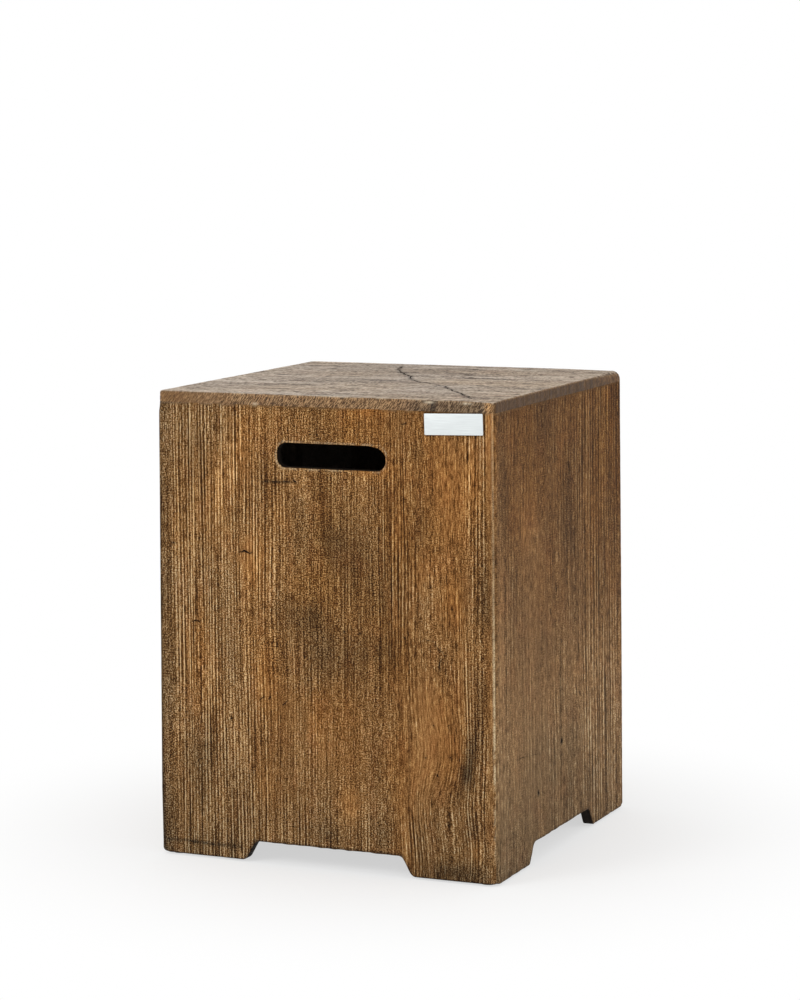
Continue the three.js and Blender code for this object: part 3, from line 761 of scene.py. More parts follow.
def carve(piece, cutters):
    """Takes the cutters' solids out of the piece, and keeps the result as its mesh."""
    for cutter in cutters:
        modifier = piece.modifiers.new("carve", "BOOLEAN")
        modifier.operation = "DIFFERENCE"
        modifier.solver = "MANIFOLD"
        modifier.object = cutter
        cutter.hide_render = True
        depsgraph = bpy.context.evaluated_depsgraph_get()
        mesh = bpy.data.meshes.new_from_object(piece.evaluated_get(depsgraph))
        if len(mesh.polygons) == 0:
            raise RuntimeError(f"{piece.name} vanished when {cutter.name} was cut out of it")
        piece.modifiers.clear()
        before, piece.data = piece.data, mesh
        mesh.name = piece.name
        bpy.data.meshes.remove(before)
        bpy.data.objects.remove(cutter)


def points_of(mesh):
    """The mesh's points as an array, in millimetres."""
    flat = np.empty(len(mesh.vertices) * 3, np.float32)
    mesh.vertices.foreach_get("co", flat)
    return flat.reshape(-1, 3).astype(float) / MM


def write_values(mesh, values):
    """Each array of values becomes a point attribute that the materials read."""
    for name, array in values.items():
        layer = mesh.attributes.new(name, "FLOAT", "POINT")
        layer.data.foreach_set("value", np.broadcast_to(array, len(mesh.vertices)).astype(np.float32))


def finish_piece(piece, material, node, sharp):
    """Shades the piece smooth up to the sharp angle. It rides on the cover, stands for its CAD node
    and takes its finish."""
    mesh = piece.data
    mesh.polygons.foreach_set("use_smooth", np.ones(len(mesh.polygons), bool))
    mesh.set_sharp_from_angle(angle=math.radians(sharp))
    mesh.materials.clear()
    mesh.materials.append(material)
    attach(piece, "root")
    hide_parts(node)


# Outlines and cutters


def joined(stretches, spacing):
    """Points round an outline: its stretches, and straight lines from each to the next. A line that
    leaves a curve is cut to the spacing."""
    points = []
    for here, after in zip(stretches, stretches[1:] + stretches[:1]):
        length = np.linalg.norm(after[0] - here[-1])
        count = max(int(length / spacing), 1) if len(here) > 1 else 1
        shares = np.linspace(0, 1, count + 1)[1:-1, None]
        points += [here, here[-1] * (1 - shares) + after[0] * shares]
    return np.concatenate(points)


def rounded_outline(half_x, half_y, radius, steps, spacing):
    """Points round a rounded rectangle, anticlockwise, its straight sides cut to the spacing."""
    arcs = []
    for corner, (side_x, side_y) in enumerate(((1, 1), (-1, 1), (-1, -1), (1, -1))):
        angles = (corner + np.linspace(0, 1, steps)) * math.pi / 2
        centre = np.array([side_x * (half_x - radius), side_y * (half_y - radius)])
        arcs.append(centre + radius * np.stack([np.cos(angles), np.sin(angles)], -1))
    return joined(arcs, spacing)


def outline_normals(ring):
    """Outward normals of an anticlockwise outline, from the way between each point's neighbours."""
    along = unit(np.roll(ring, -1, 0) - np.roll(ring, 1, 0))
    return np.stack([along[:, 1], -along[:, 0]], -1)


def through_wall(outlines, steps):
    """A solid through the wall from outlines of (across, up), each as far out as its step says."""
    rings = [np.column_stack([outline[:, 0], np.full(len(outline), -step[0]), outline[:, 1]])
             for outline, step in zip(outlines, steps)]
    return loft(np.stack(rings))


def slot_cutter(wall):
    """Solid for a handle slot: a rounded rectangle through the wall, flared at both faces.

    The flare is a quarter circle. The outline wavers a little at the outer face, where the edge is
    worn, and is true inside the wall. The front's upper right corner is cut lower than the rest.
    """
    outer = outer_half(SLOT_LEVEL)
    inner = outer - WALL_THICKNESS
    angles = np.linspace(0, math.pi / 2, RIM_POINTS)
    flare = SLOT_RIM * (1 - np.sin(angles))
    depth = SLOT_RIM * (1 - np.cos(angles))
    worn = np.linspace(0, 1, RIM_POINTS)
    steps = [(inner - SLOT_OVERRUN, SLOT_RIM, 0), *zip(inner + depth, flare, 0 * worn),
             *zip(outer - depth[::-1], flare[::-1], worn), (outer + SLOT_OVERRUN, SLOT_RIM, 1)]
    plain = rounded_outline(*SLOT_HALF, SLOT_RADIUS, steps=9, spacing=2.2)
    x, y = plain.T
    away = outline_normals(plain)
    wave = (0.4 * wall_noise("slot_edge", x, y, wall["seed"])
            + 0.25 * wall_noise("fine_slot_edge", x, y, wall["seed"]))
    dip = np.stack([0 * x, wall["slot_dip"] * smooth(*DIP_ACROSS, x) * smooth(*DIP_UP, y)], -1)
    outlines = [plain + away * (grow * SLOT_FLARE + waver * wave)[:, None] - dip + [wall["slot"], SLOT_LEVEL]
                for _, grow, waver in steps]
    return through_wall(outlines, steps)


def notch_outline():
    """Outline of the hose cut-out, anticlockwise: a low trapezium with eased corners, open below.

    Each eased corner is a curve that leaves one side and meets the next, drawn to the corner.
    """
    wide = NOTCH_FOOT_HALF + 2 * NOTCH_EASE
    right = [(wide, FOOT_LEVEL - NOTCH_OVERRUN, 0), (wide, FOOT_LEVEL - HAIR, 0),
             (NOTCH_FOOT_HALF, FOOT_LEVEL + HAIR, NOTCH_EASE),
             (NOTCH_TOP_HALF, FOOT_LEVEL + NOTCH_HEIGHT, NOTCH_EASE)]
    corners = np.array(right + [(-x, y, ease) for x, y, ease in reversed(right)])
    points, ease = corners[:, :2], corners[:, 2:]
    starts, ends = (points + unit(np.roll(points, step, 0) - points) * ease for step in (1, -1))
    share = np.linspace(0, 1, EASE_POINTS)[:, None]
    curves = [(1 - share) ** 2 * start + 2 * share * (1 - share) * corner + share ** 2 * end
              for start, corner, end in zip(starts, points, ends)]
    stretches = [curve if eased else curve[:1] for curve, eased in zip(curves, ease[:, 0])]
    return joined(stretches, spacing=2.5)


def notch_cutter(wall):
    """Solid for a hose cut-out, flared a little at the outer face, its edge wavering as cast."""
    outer = outer_half(FOOT_LEVEL)
    inner = outer - WALL_THICKNESS
    # how far out, how much the outline has grown there, and how much it wavers
    steps = [(inner - NOTCH_OVERRUN, 0, 0), (inner + 2, 0, 0), (outer - 3, 0, 0.3),
             (outer - 1.3, 0.35, 0.8), (outer - 0.4, 1.0, 1), (outer + 0.3, NOTCH_RIM, 1),
             (outer + NOTCH_OVERRUN, NOTCH_RIM, 1)]
    plain = notch_outline()
    x, y = plain.T
    wave = (0.5 * wall_noise("notch_edge", x, y, wall["seed"])
            + 0.25 * wall_noise("fine_notch_edge", x, y, wall["seed"]))
    away = unit((plain - [0, FOOT_LEVEL]) / [NOTCH_FOOT_HALF * 4, NOTCH_HEIGHT])
    above = smooth(FOOT_LEVEL - 2, FOOT_LEVEL + 1, y)
    outlines = [plain + away * ((grow + waver * wave) * above)[:, None] + [wall["notch"], 0]
                for _, grow, waver in steps]
    return through_wall(outlines, steps)


def crack_cutter(cracks, place, seed, stray=0.0):
    """Thin trenches along the cracks, narrower at the bottom, whose width and depth swell and fade.

    place turns (across, up, outwards) into a point on the surface's own frame.
    """
    points, quads, caps, first = [], [], [], 0
    for number, (path, half_width, depth) in enumerate(cracks):
        middle, side, run = crack_run(path, half_width, number, seed, stray)
        swell = np.sqrt(np.sin(math.pi * np.linspace(0.03, 0.97, len(run))))
        swell = swell * (0.75 + 0.35 * cloud(run / 3.7, number, seed + 1))
        width = half_width * swell + CRACK_LEAST
        deep = depth * (0.35 + 0.65 * swell)
        wide = width * (deep + CRACK_RISE) / deep
        narrow = CRACK_TAPER * width
        above = np.full(len(run), CRACK_RISE)
        corners = ((wide, above), (-wide, above), (-narrow, -deep), (narrow, -deep))
        section = np.stack([np.column_stack([middle + side * reach[:, None], level])
                            for reach, level in corners], 1)
        solid, solid_quads, solid_caps = loft(place(section))
        points.append(solid)
        quads.append(solid_quads + first)
        caps += [cap + first for cap in solid_caps]
        first += len(solid)
    return np.concatenate(points), np.concatenate(quads), caps


# Walls


def corner_radius_at(up, corner):
    """Radius of an upright edge: filed rounder towards the foot, and the mould's own at the seam."""
    radius, gain, low, high = FILED_EDGES[corner]
    filed = gain * (1 - smooth(low, high, up))
    return radius + filed + (CORNER_RADIUS - radius) * smooth(-FILED_BELOW, 0, up - SEAM_LEVEL)


def outer_section(turns, up, half, columns):
    """A wall's outer face from mitre to mitre, over half of each corner's arc, before any relief.

    Gives x, y, the x of the outward normal, and the place across with the arcs rolled out flat.
    """
    radii = [corner_radius_at(up, CORNERS[turns - 1]), corner_radius_at(up, CORNERS[turns])]
    turn = np.linspace(math.pi / 4, 0, ARC_POINTS + 1)[:-1]
    arcs = []
    for side, radius, angles in ((-1, radii[0], turn), (1, radii[1], turn[::-1])):
        centre = half - radius
        arcs.append((side * (centre + radius * np.sin(angles)), -(centre + radius * np.cos(angles)),
                     side * np.sin(angles) + 0 * radius, side * (centre + radius * angles)))
    left_end, right_end = radii[0] - half, half - radii[1]
    x = left_end + (right_end - left_end) * (np.linspace(-1, 1, columns) + 1) / 2
    straight = (x, -half + 0 * x, 0 * x, x)
    return [np.concatenate(parts, 1) for parts in zip(arcs[0], straight, arcs[1])]


def wall_rings(name, columns, rows):
    """Rings round the wall's section, one for each height.

    A ring runs along the outer face from mitre to mitre, then back along the inner face. The outer
    points are pushed in by the relief and the eased foot, along the face's normal.
    """
    top = SEAM_LEVEL - SEAM_GAP
    even = np.linspace(EVEN_START, top - FOOT_LEVEL - EVEN_END, rows)
    up = np.concatenate([FOOT_LEVEL + np.array(FOOT_RINGS), FOOT_LEVEL + even, [top]])[:, None]
    half = outer_half(up)
    x, y, lean_x, place = outer_section(WALLS[name]["turns"], up, half, columns)
    inset = np.interp(up - FOOT_LEVEL, FOOT_RINGS, FOOT_INSETS)
    rest = np.clip(FOOT_CORNER_EASE - (up - FOOT_LEVEL), 0, None)
    corner_inset = FOOT_CORNER_EASE - np.sqrt(FOOT_CORNER_EASE ** 2 - rest ** 2)
    in_corner = smooth(*FOOT_CORNER, np.abs(place) - half)
    push = wall_surface(name, place, up)["relief"] + inset * (1 - in_corner) + corner_inset * in_corner
    x = x - lean_x * push
    y = y + np.sqrt(1 - lean_x ** 2) * push
    # the mitres: both ends are cut back to the planes at 45 degrees
    reach = -y - MITRE_GAP
    outer = np.stack(np.broadcast_arrays(np.clip(x, -reach, reach), y, up), -1)
    inner_half = half - WALL_THICKNESS
    inner_x = np.concatenate([[1], np.linspace(INNER_REACH, -INNER_REACH, INNER_POINTS), [-1]])
    inner = np.stack(np.broadcast_arrays(inner_x * (inner_half - MITRE_GAP), -inner_half, up), -1)
    shares = np.array(MITRE_SHARES)[:, None]
    right_mitre = outer[:, -1:] * (1 - shares) + inner[:, :1] * shares
    left_mitre = inner[:, -1:] * (1 - shares) + outer[:, :1] * shares
    return np.concatenate([outer, right_mitre, inner, left_mitre], 1)


def wall_frame(points, quarter_turns):
    """(across, up, depth behind the plain outer face) of points on a wall."""
    local = turned(points, -quarter_turns)
    return local[:, 0], local[:, 2], outer_half(local[:, 2]) + local[:, 1]


def slot_wear(wall, across, up, deep):
    """How far the rim of the handle slot is rubbed pale: a line round it, broken by noise."""
    gap_x = np.maximum(np.abs(across - wall["slot"]) - (SLOT_HALF[0] - SLOT_RADIUS), 0)
    gap_z = np.maximum(np.abs(up - SLOT_LEVEL) - (SLOT_HALF[1] - SLOT_RADIUS), 0)
    away = np.hypot(gap_x, gap_z) - SLOT_RADIUS
    rim = hump(away, *SLOT_RUBBED) * smooth(*SLOT_RUBBED_DEEP, deep)
    broken = 0.55 + 0.8 * wall_noise("slot_rim", across, up, wall["seed"])
    return rim * np.clip(broken, 0, 0.85)


def foot_edge_shade(wall, across, up):
    """How much painted shade darkens the wall close to its foot and along the hose cut-out's edge."""
    slope = (NOTCH_FOOT_HALF - NOTCH_TOP_HALF) / NOTCH_HEIGHT
    flank = np.abs(across - wall["notch"]) - NOTCH_FOOT_HALF + slope * (up - FOOT_LEVEL)
    from_cut = np.maximum(flank, up - FOOT_LEVEL - NOTCH_HEIGHT) - NOTCH_RIM
    return smooth(*FOOT_EDGE_SHADE, np.minimum(from_cut, up - FOOT_LEVEL))


def build_wall(name, material, columns, rows):
    """One cast wall with its relief, slot, cut-out and cracks, standing for its CAD panel."""
    wall = WALLS[name]
    turns, seed = wall["turns"], wall["seed"]

    def on_wall(section):
        level = section[..., 1]
        return np.stack([section[..., 0], -(outer_half(level) + section[..., 2]), level], -1)

    piece = solid_piece(f"{name}_wall", loft(wall_rings(name, columns, rows)), turns)
    cutters = {"cut_out": notch_cutter(wall)}
    if "slot" in wall:
        cutters["slot"] = slot_cutter(wall)
    cutters["cracks"] = crack_cutter(wall["cracks"], on_wall, seed)
    carve(piece, [cutter_piece(title, solid, turns) for title, solid in cutters.items()])
    across, up, depth = wall_frame(points_of(piece.data), turns)
    surface = wall_surface(name, across, up)
    deep = depth - surface.pop("relief")
    in_corner = np.abs(across) > outer_half(up) - CORNER_RADIUS - CORNER_MARGIN
    deep = np.where(in_corner, np.minimum(deep, np.maximum(depth - CORNER_RADIUS, 0)), deep)
    if "slot" in wall:
        surface["worn"] = np.maximum(surface["worn"], slot_wear(wall, across, up, deep))
    # painted shade round the cracks, which makes them look wider and darker
    crack_shade = near_cracks(across, up, wall["cracks"], seed)
    # painted shade along the foot and the cut-out's edge
    surface["shade"] = surface["shade"] - 0.7 * crack_shade - 0.8 * foot_edge_shade(wall, across, up)
    write_values(piece.data, {**surface, "deep": deep})
    finish_piece(piece, material, f"{name}_panel", CAST_SHARP)


# Tabletop


def top_rim_radius(x, y):
    """Radius of the plate's upper edge: small at the front left, fuller towards the back right."""
    at_back = smooth(120, 200, x) * smooth(60, 200, y)
    at_front = smooth(150, 200, x) * smooth(-140, -200, y)
    waver = 0.4 * top_noise("rim", x + y, x)
    return 2.5 + 0.4 * smooth(-150, 195, x) + 7.2 * at_back + 2.0 * at_front + waver


def square_outline(flat, half, radius):
    """Points on a rounded square for points on the plain square, and their normals.

    flat is in -1 to 1. Near a corner, the way left to the corner becomes an angle on its arc.
    """
    half = np.broadcast_to(half, len(flat))
    sign = np.where(flat < 0, -1.0, 1.0)
    size = np.abs(flat) * half[:, None]
    on_front = (size[:, 1] >= size[:, 0])[:, None]
    run = size.min(axis=1)
    angle = np.clip(1 - (half - run) / radius, 0, 1) * math.pi / 4
    centre = half - radius
    along = np.where(angle > 0, centre + radius * np.sin(angle), run)
    place = np.stack([along, centre + radius * np.cos(angle)], -1)
    normal = np.stack([np.sin(angle), np.cos(angle)], -1)
    place, normal = (np.where(on_front, pair, pair[:, ::-1]) for pair in (place, normal))
    return place * sign, normal * sign


def rim_wear(x, y):
    """How deep the chips along the front edge go, and how far the front right corner is worn down."""
    ragged = 0.6 + 0.4 * top_noise("ragged", x, y)
    chips = np.zeros(len(x))
    for chip_x, reach, deep in LIP_CHIPS:
        along = smooth(1, 0.2, np.abs(x - chip_x) / reach)
        chips = np.maximum(chips, deep * along * smooth(7, 0, y + TOP_HALF) * ragged)
    return chips, CORNER_WEAR * hump(np.hypot(x - TOP_HALF, y + TOP_HALF), 0, CORNER_WEAR_REACH)


def top_surface(x, y):
    """Grain of the tabletop, which runs along x, with slow swirls and shallow brushed lines."""
    lay = y + 9 * top_noise("stray", x, y) + 4 * top_noise("fine_stray", x, y)
    for *swirl, lean in TOP_SWIRLS:
        lay = lay - lean * (y - swirl[1]) * bell(x, y, *swirl)
    broad, streak, fibre = (top_noise(kind, lay, x) for kind in ("broad", "streak", "fibre"))
    grain = np.clip(0.5 + 0.15 * broad + 0.13 * streak + 0.09 * fibre, 0, 1)
    split = (smooth(0.5, 0.8, top_noise("split", lay, x))
             * smooth(-0.3, 0.3, top_noise("split_here", x, y)))
    relief = 0.34 * (1 - grain) + 0.12 * (1 + top_noise("dips", x, y)) + 0.35 * split
    shade = 0.2 * top_noise("stain", x, y) - 0.6 * split
    # painted sheen: the top grows lighter towards its left; it is also darker towards the back
    shade = shade + 0.12 * smooth(-60, -190, x) - 0.1 * smooth(40, 160, y)
    patchy = top_noise("patchy", x, y)
    return {
        "relief": relief,
        "grain": grain,
        "lay": lay,
        "comb": 0.0,
        "line": 0.32,
        "fibre": 0.36 + 0.15 * patchy,
        "grit": 0.4 + 0.15 * patchy,
        "strand": np.clip(0.65 + 0.65 * patchy, 0.1, 1.4),
        "shade": shade,
        "warm": 0.15 * top_noise("warmth", x, y) + 0.12 * smooth(-200, 200, x) + 0.12,
    }


def tabletop_solid(columns, rows):
    """The plate: a grid over its top, rings over the rounded edge and down the side, and the
    register under it that drops between the walls."""
    grid_x, grid_y = np.meshgrid(np.linspace(-1, 1, columns + 1), np.linspace(-1, 1, rows + 1))
    flat = np.stack([grid_x.ravel(), grid_y.ravel()], -1)
    index = np.arange(len(flat)).reshape(rows + 1, columns + 1)
    full = np.abs(flat).max(axis=1)
    on_square = flat / np.maximum(full, 1e-9)[:, None]

    def ring(on_square, level, inset):
        place, normal = square_outline(on_square, outer_half(level), CORNER_RADIUS)
        return place - normal * inset[:, None]

    # the top, its grid bent to the rounded square near the edge
    inner = TOP_HALF - TOP_INSET
    rim = top_rim_radius(*(on_square * inner).T)
    blend = smooth(0.9, 1.0, full)[:, None]
    boundary = ring(on_square, OVERALL_HEIGHT - rim, rim)
    top_xy = flat * inner * (1 - blend) + boundary * full[:, None] * blend
    x, y = top_xy.T
    dip = top_surface(x, y)["relief"] * smooth(1.0, 0.98, full)
    wave = 0.15 * (1 + top_noise("wave", x, y)) * smooth(0.955, 1.0, full)
    top = OVERALL_HEIGHT - TOP_SKIM - dip - np.maximum(*rim_wear(x, y)) - wave

    # the rounded edge, the side and the register, from the top down
    edge = np.concatenate([index[0, :-1], index[:-1, -1], index[-1, :0:-1], index[:0:-1, 0]])
    square, rim, start = on_square[edge], rim[edge], top[edge]
    run = square[:, 0] * TOP_HALF + square[:, 1] * TOP_HALF
    rings = []
    for angle in np.linspace(0, math.pi / 2, RIM_POINTS)[1:]:
        level = np.minimum(OVERALL_HEIGHT - rim * (1 - math.cos(angle)), start)
        push = 0.2 * (1 + top_noise("side", run, level)) * math.sin(angle)
        rings.append((ring(square, level, rim * (1 - math.sin(angle)) + push), level))
    for share in np.linspace(0, 1, SIDE_RINGS + 1)[1:]:
        level = (OVERALL_HEIGHT - rim) * (1 - share) + SEAM_LEVEL * share
        push = 0.2 * (1 + top_noise("side", run, level)) + 0.25 * smooth(0.85, 1, share)
        rings.append((ring(square, level, push), level))
    under = outer_half(SEAM_LEVEL) - WALL_THICKNESS - REGISTER_CLEARANCE
    place, normal = square_outline(square, under, INSIDE_CORNER_RADIUS)
    rings += [(place, SEAM_LEVEL), (place, REGISTER_LEVEL + REGISTER_EASE),
              (place - normal * REGISTER_EASE, REGISTER_LEVEL)]

    lower = [np.column_stack([place, np.broadcast_to(level, len(place))]) for place, level in rings]
    points = np.concatenate([np.column_stack([top_xy, top]), *lower])
    loops = np.arange(len(flat), len(points)).reshape(len(rings), -1)
    loops = np.concatenate([edge[None], loops])
    cells = np.stack([index[:-1, :-1], index[:-1, 1:], index[1:, 1:], index[1:, :-1]], -1)
    quads = np.concatenate([cells.reshape(-1, 4), bands(loops[1:], loops[:-1])])
    return points, quads, [loops[-1][::-1]]


def side_marks(x, y, z, to_right, to_front):
    """Colours of the plate's side, dark over the name plate, with painted shade on the right, and its
    hatching.
    """
    from_top = OVERALL_HEIGHT - z
    at_left = smooth(*SIDE_LEFT, x)
    at_plate = smooth(*SIDE_OVER_PLATE, x)
    strip = smooth(*SIDE_STRIP, x)
    upright = 0.3 * top_noise("upright", y, z) * smooth(-60, 120, y)
    # painted shade: the right side darker than the front, with upright lines in it
    right_lines_and_shade = upright - 0.82 + 0.3 * smooth(60, 200, y)
    on_front = (0.18 - 0.2 * at_left - 0.53 * at_plate * (1 - strip) + 0.72 * strip
                - 0.5 * smooth(1.8, 0.6, from_top) * smooth(-120, -150, x))
    warm = 0.38 + to_front * (0.25 * at_left - 0.3 * at_plate + 0.5 * strip) + 0.45 * to_right
    return {"shade": -0.16 + to_right * right_lines_and_shade + to_front * on_front, "warm": warm,
            "grit": 1 - 0.6 * to_right - to_front * 0.6 * smooth(-90, -140, x)}


def lip_wear(x, y, z, to_right, to_front):
    """How far the plate's lip is rubbed pale, and the pale chips under it on the front."""
    from_top = OVERALL_HEIGHT - z
    rubbed = 0.15 + 0.8 * top_noise("rubbed", x + y, z) + 0.3 * top_noise("fine_rubbed", x + y, z)
    rubbed = np.clip(rubbed + 0.6 * hump(x, *LIP_BRIGHT) * (y < 0), 0, 1)
    lip = 0.8 * hump(from_top, *LIP_LINE) * (1 - 0.85 * to_right)
    chip = 0.8 * bell(x, z, *PALE_CHIP)
    for chip_x in LIP_PALE:
        chip = np.maximum(chip, bell(x, from_top, chip_x, *LIP_PALE_SHAPE))
    return lip * rubbed * (1 - smooth(*SIDE_LEFT, x) * to_front), chip * to_front


def top_marks(x, y, z):
    """What each point of the finished plate carries: the face's values, blended into the side's."""
    surface = top_surface(x, y)
    chips, corner = rim_wear(x, y)
    from_top = OVERALL_HEIGHT - z
    from_side = outer_half(z) - np.maximum(np.abs(x), np.abs(y))
    on_face = smooth(*FACE_START, from_side)
    to_right = smooth(SIDE_REACH, 0, outer_half(z) - x)
    to_front = (1 - to_right) * smooth(SIDE_REACH, 0, outer_half(z) + y)
    lowered = surface.pop("relief") + 0.1 + np.maximum(chips, corner)
    surface["deep"] = (from_top - lowered) * on_face
    band = 1 - smooth(*BAND_START, from_side - 0.5 * from_top)
    surface["band"] = np.where(from_top > BAND_SURE, 1, band) * (1 - on_face)
    lip, chip = lip_wear(x, y, z, to_right, to_front)
    surface["worn"] = np.maximum(lip * (1 - on_face), chip)
    side = (1 - on_face) * smooth(0, 2, from_top)
    for name, value in side_marks(x, y, z, to_right, to_front).items():
        surface[name] = surface[name] * (1 - side) + side * value
    # painted shade round the cracks
    crack_shade = near_cracks(x, y, TOP_CRACKS, TOP_CRACK_SEED, TOP_STRAY) * on_face
    surface["shade"] = surface["shade"] - 0.8 * crack_shade - 0.7 * smooth(0.3, 1.2, chips)
    return surface


def build_tabletop(material, columns, rows):
    """The plate with its cracks, standing for its CAD panel."""

    def on_top(section):
        return np.stack([section[..., 0], section[..., 1], OVERALL_HEIGHT + section[..., 2]], -1)

    piece = solid_piece("tabletop", tabletop_solid(columns, rows))
    carve(piece, [cutter_piece("cracks", crack_cutter(TOP_CRACKS, on_top, TOP_CRACK_SEED, TOP_STRAY))])
    write_values(piece.data, top_marks(*points_of(piece.data).T))
    finish_piece(piece, material, "top_panel", CAST_SHARP)


# Coves inside


def build_gusset(name, material, quarter_turns):
    """The cove up an inside corner: a hollow quarter circle between two walls, carried upwards."""
    levels = np.linspace(FOOT_LEVEL, GUSSET_TOP_LEVEL, 121)[:, None]
    angles = np.linspace(0, math.pi / 2, 25)
    reach = outer_half(levels) - WALL_THICKNESS - JOINT_GAP
    sweeps = 0.5 * (1 + clouds(angles * 2.2, levels / 34, COVE_SEED))
    ripples = 0.25 * (1 + cloud(angles * 6, levels / 5, COVE_SEED + 1))
    trowel = (sweeps + ripples) * np.sin(2 * angles)
    leg = GUSSET_LEG - JOINT_GAP
    x = reach - leg * (1 - np.sin(angles)) + trowel * TROWEL_PUSH
    y = -reach + leg * (1 - np.cos(angles)) - trowel * TROWEL_PUSH
    # the back of the cove is cut off, just clear of the walls' inside corner
    x = np.concatenate([reach - GUSSET_BACK, x, reach], 1)
    y = np.concatenate([-reach, y, -reach + GUSSET_BACK], 1)
    rings = np.stack(np.broadcast_arrays(x, y, levels), -1)[:, ::-1]
    piece = solid_piece(f"corner_cove_{name}", loft(rings), quarter_turns)
    finish_piece(piece, material, f"corner_gusset_{name}", COVE_SHARP)


def build_fillet(name, material, quarter_turns):
    """The cove under the top along one wall, its ends cut to the mitres."""
    angles = np.linspace(0, math.pi / 2, 17)
    shares = np.linspace(-1, 1, 161)[:, None]
    level = COVE_TOP_LEVEL - FILLET_LEG * (1 - np.cos(angles))
    inwards = FILLET_LEG * (1 - np.sin(angles))
    trowel = 0.35 * (1 + clouds(shares * 6, angles * 2, COVE_SEED + 2)) * np.sin(2 * angles)
    out = outer_half(level) - WALL_THICKNESS - JOINT_GAP - inwards + trowel * TROWEL_PUSH
    high = level + trowel * TROWEL_PUSH
    back = outer_half(COVE_TOP_LEVEL) - WALL_THICKNESS - JOINT_GAP
    out = np.concatenate([out, np.full(shares.shape, back)], 1)
    high = np.concatenate([high, np.full(shares.shape, COVE_TOP_LEVEL)], 1)
    rings = np.stack([shares * (out - JOINT_GAP), -out, high], -1)
    piece = solid_piece(f"top_cove_{name}", loft(rings), quarter_turns)
    finish_piece(piece, material, f"top_fillet_{name}", COVE_SHARP)


# Name plate


def build_plate(material):
    """A blank plate: rounded rectangles from its back over an eased edge to a flat face."""
    lean = math.atan(LEAN)
    steps = [(0, PLATE_BEVEL), (PLATE_BEVEL, 0)]
    for angle in np.linspace(0, math.pi / 2, 5):
        steps.append((PLATE_THICKNESS - PLATE_EASE * (1 - math.sin(angle)),
                      PLATE_EASE * (1 - math.cos(angle))))
    height_half = PLATE_HALF[1] / math.cos(lean) - PLATE_TRIM
    plain = rounded_outline(PLATE_HALF[0], height_half, PLATE_RADIUS, steps=7, spacing=4.0)
    away = outline_normals(plain)
    rings = [np.column_stack([plain - away * inset, np.full(len(plain), level - PLATE_THICKNESS / 2)])
             for level, inset in steps]
    points, quads, caps = loft(np.stack(rings))
    place = Matrix.Rotation(math.pi / 2 - lean, 3, "X") @ Matrix.Rotation(PLATE_TURN, 3, "Z")
    points = points @ np.array(place).T + (PLATE_LOW + PLATE_HIGH) / 2
    piece = solid_piece("name_plate_blank", (points, quads, caps))
    finish_piece(piece, material, "name_plate", PLATE_SHARP)


# Materials

MATH = "ShaderNodeMath"
VECTOR = "ShaderNodeVectorMath"
MIX = "ShaderNodeMix"
NOISE = "ShaderNodeTexNoise"
RAMP = "ShaderNodeValToRGB"
RANGE = "ShaderNodeMapRange"
BUMP = "ShaderNodeBump"

# What each point of a cast piece carries for its material
SURFACE_VALUES = ("lay", "grain", "comb", "line", "fibre", "grit", "strand", "shade", "warm", "worn",
                  "band", "deep")

# Layers of texture on the grain: name, cell across and along the grain in millimetres, where the
# noise starts and ends to count, what it adds there, and how much it stands up
WALL_LAYERS = (
    ("line", 1.3, 90, 0.34, 0.66, -0.5, 0.5, 0.8),
    ("fibre", 1.2, 10, 0.34, 0.66, -0.5, 0.5, 0.4),
    ("strand", 1.2, 13, 0.28, 0.42, -1.0, 0.0, 0.5),
    ("grit", 1.2, 1.5, 0.38, 0.62, -0.5, 0.5, 0.4),
)
TOP_LAYERS = (
    ("line", 7, 60, 0.32, 0.68, -0.5, 0.5, 0.8),
    ("fibre", 6, 14, 0.32, 0.68, -0.5, 0.5, 0.4),
    ("strand", 8, 20, 0.3, 0.38, -1.0, 0.0, 0.5),
    ("grit", 6, 3, 0.36, 0.64, -0.5, 0.5, 0.4),
)
# Hatching on the plate's edge: cell across and along, where the noise starts and ends, its weight
EDGE_LAYERS = ((1.2, 5, 0.36, 0.64, 0.4), (7, 6, 0.3, 0.7, 0.14), (1.2, 1.5, 0.36, 0.64, 0.2))
EDGE_SLANT = -0.7


def linear(text):
    """Linear colour for an sRGB hex colour."""
    channels = np.array([int(text[k:k + 2], 16) for k in (1, 3, 5)]) / 255
    channels = np.where(channels <= 0.04045, channels / 12.92, ((channels + 0.055) / 1.055) ** 2.4)
    return (*channels.tolist(), 1.0)


def add(tree, kind, links=None, out=0, stops=None, **settings):
    """Adds a node with its settings and gives one of its outputs. links maps an input to a value or
    to another node's output. stops are a ramp's places and colours."""
    node = tree.nodes.new(kind)
    for name, value in settings.items():
        setattr(node, name, value)
    for name, value in (links or {}).items():
        if isinstance(value, bpy.types.NodeSocket):
            tree.links.new(value, node.inputs[name])
        else:
            node.inputs[name].default_value = value
    for number, (place, colour) in enumerate(stops or ()):
        elements = node.color_ramp.elements
        element = elements[number] if number < 2 else elements.new(place)
        element.position = place
        element.color = colour
    return node.outputs[out] if node.outputs else None


def new_material(name):
    """An empty material, its node tree, and each point's place on the object in metres."""
    material = bpy.data.materials.new(name)
    material.use_nodes = True
    tree = material.node_tree
    tree.nodes.clear()
    return material, tree, add(tree, "ShaderNodeTexCoord", out="Object")


def shade_with(tree, links, strength, depth, height):
    """Ends a material: its shader takes the links and the height's bump, depth millimetres deep."""
    bump = add(tree, BUMP, {"Strength": strength, "Distance": depth * MM, "Height": height})
    shader = add(tree, "ShaderNodeBsdfPrincipled", {**links, "Normal": bump})
    add(tree, "ShaderNodeOutputMaterial", {"Surface": shader})


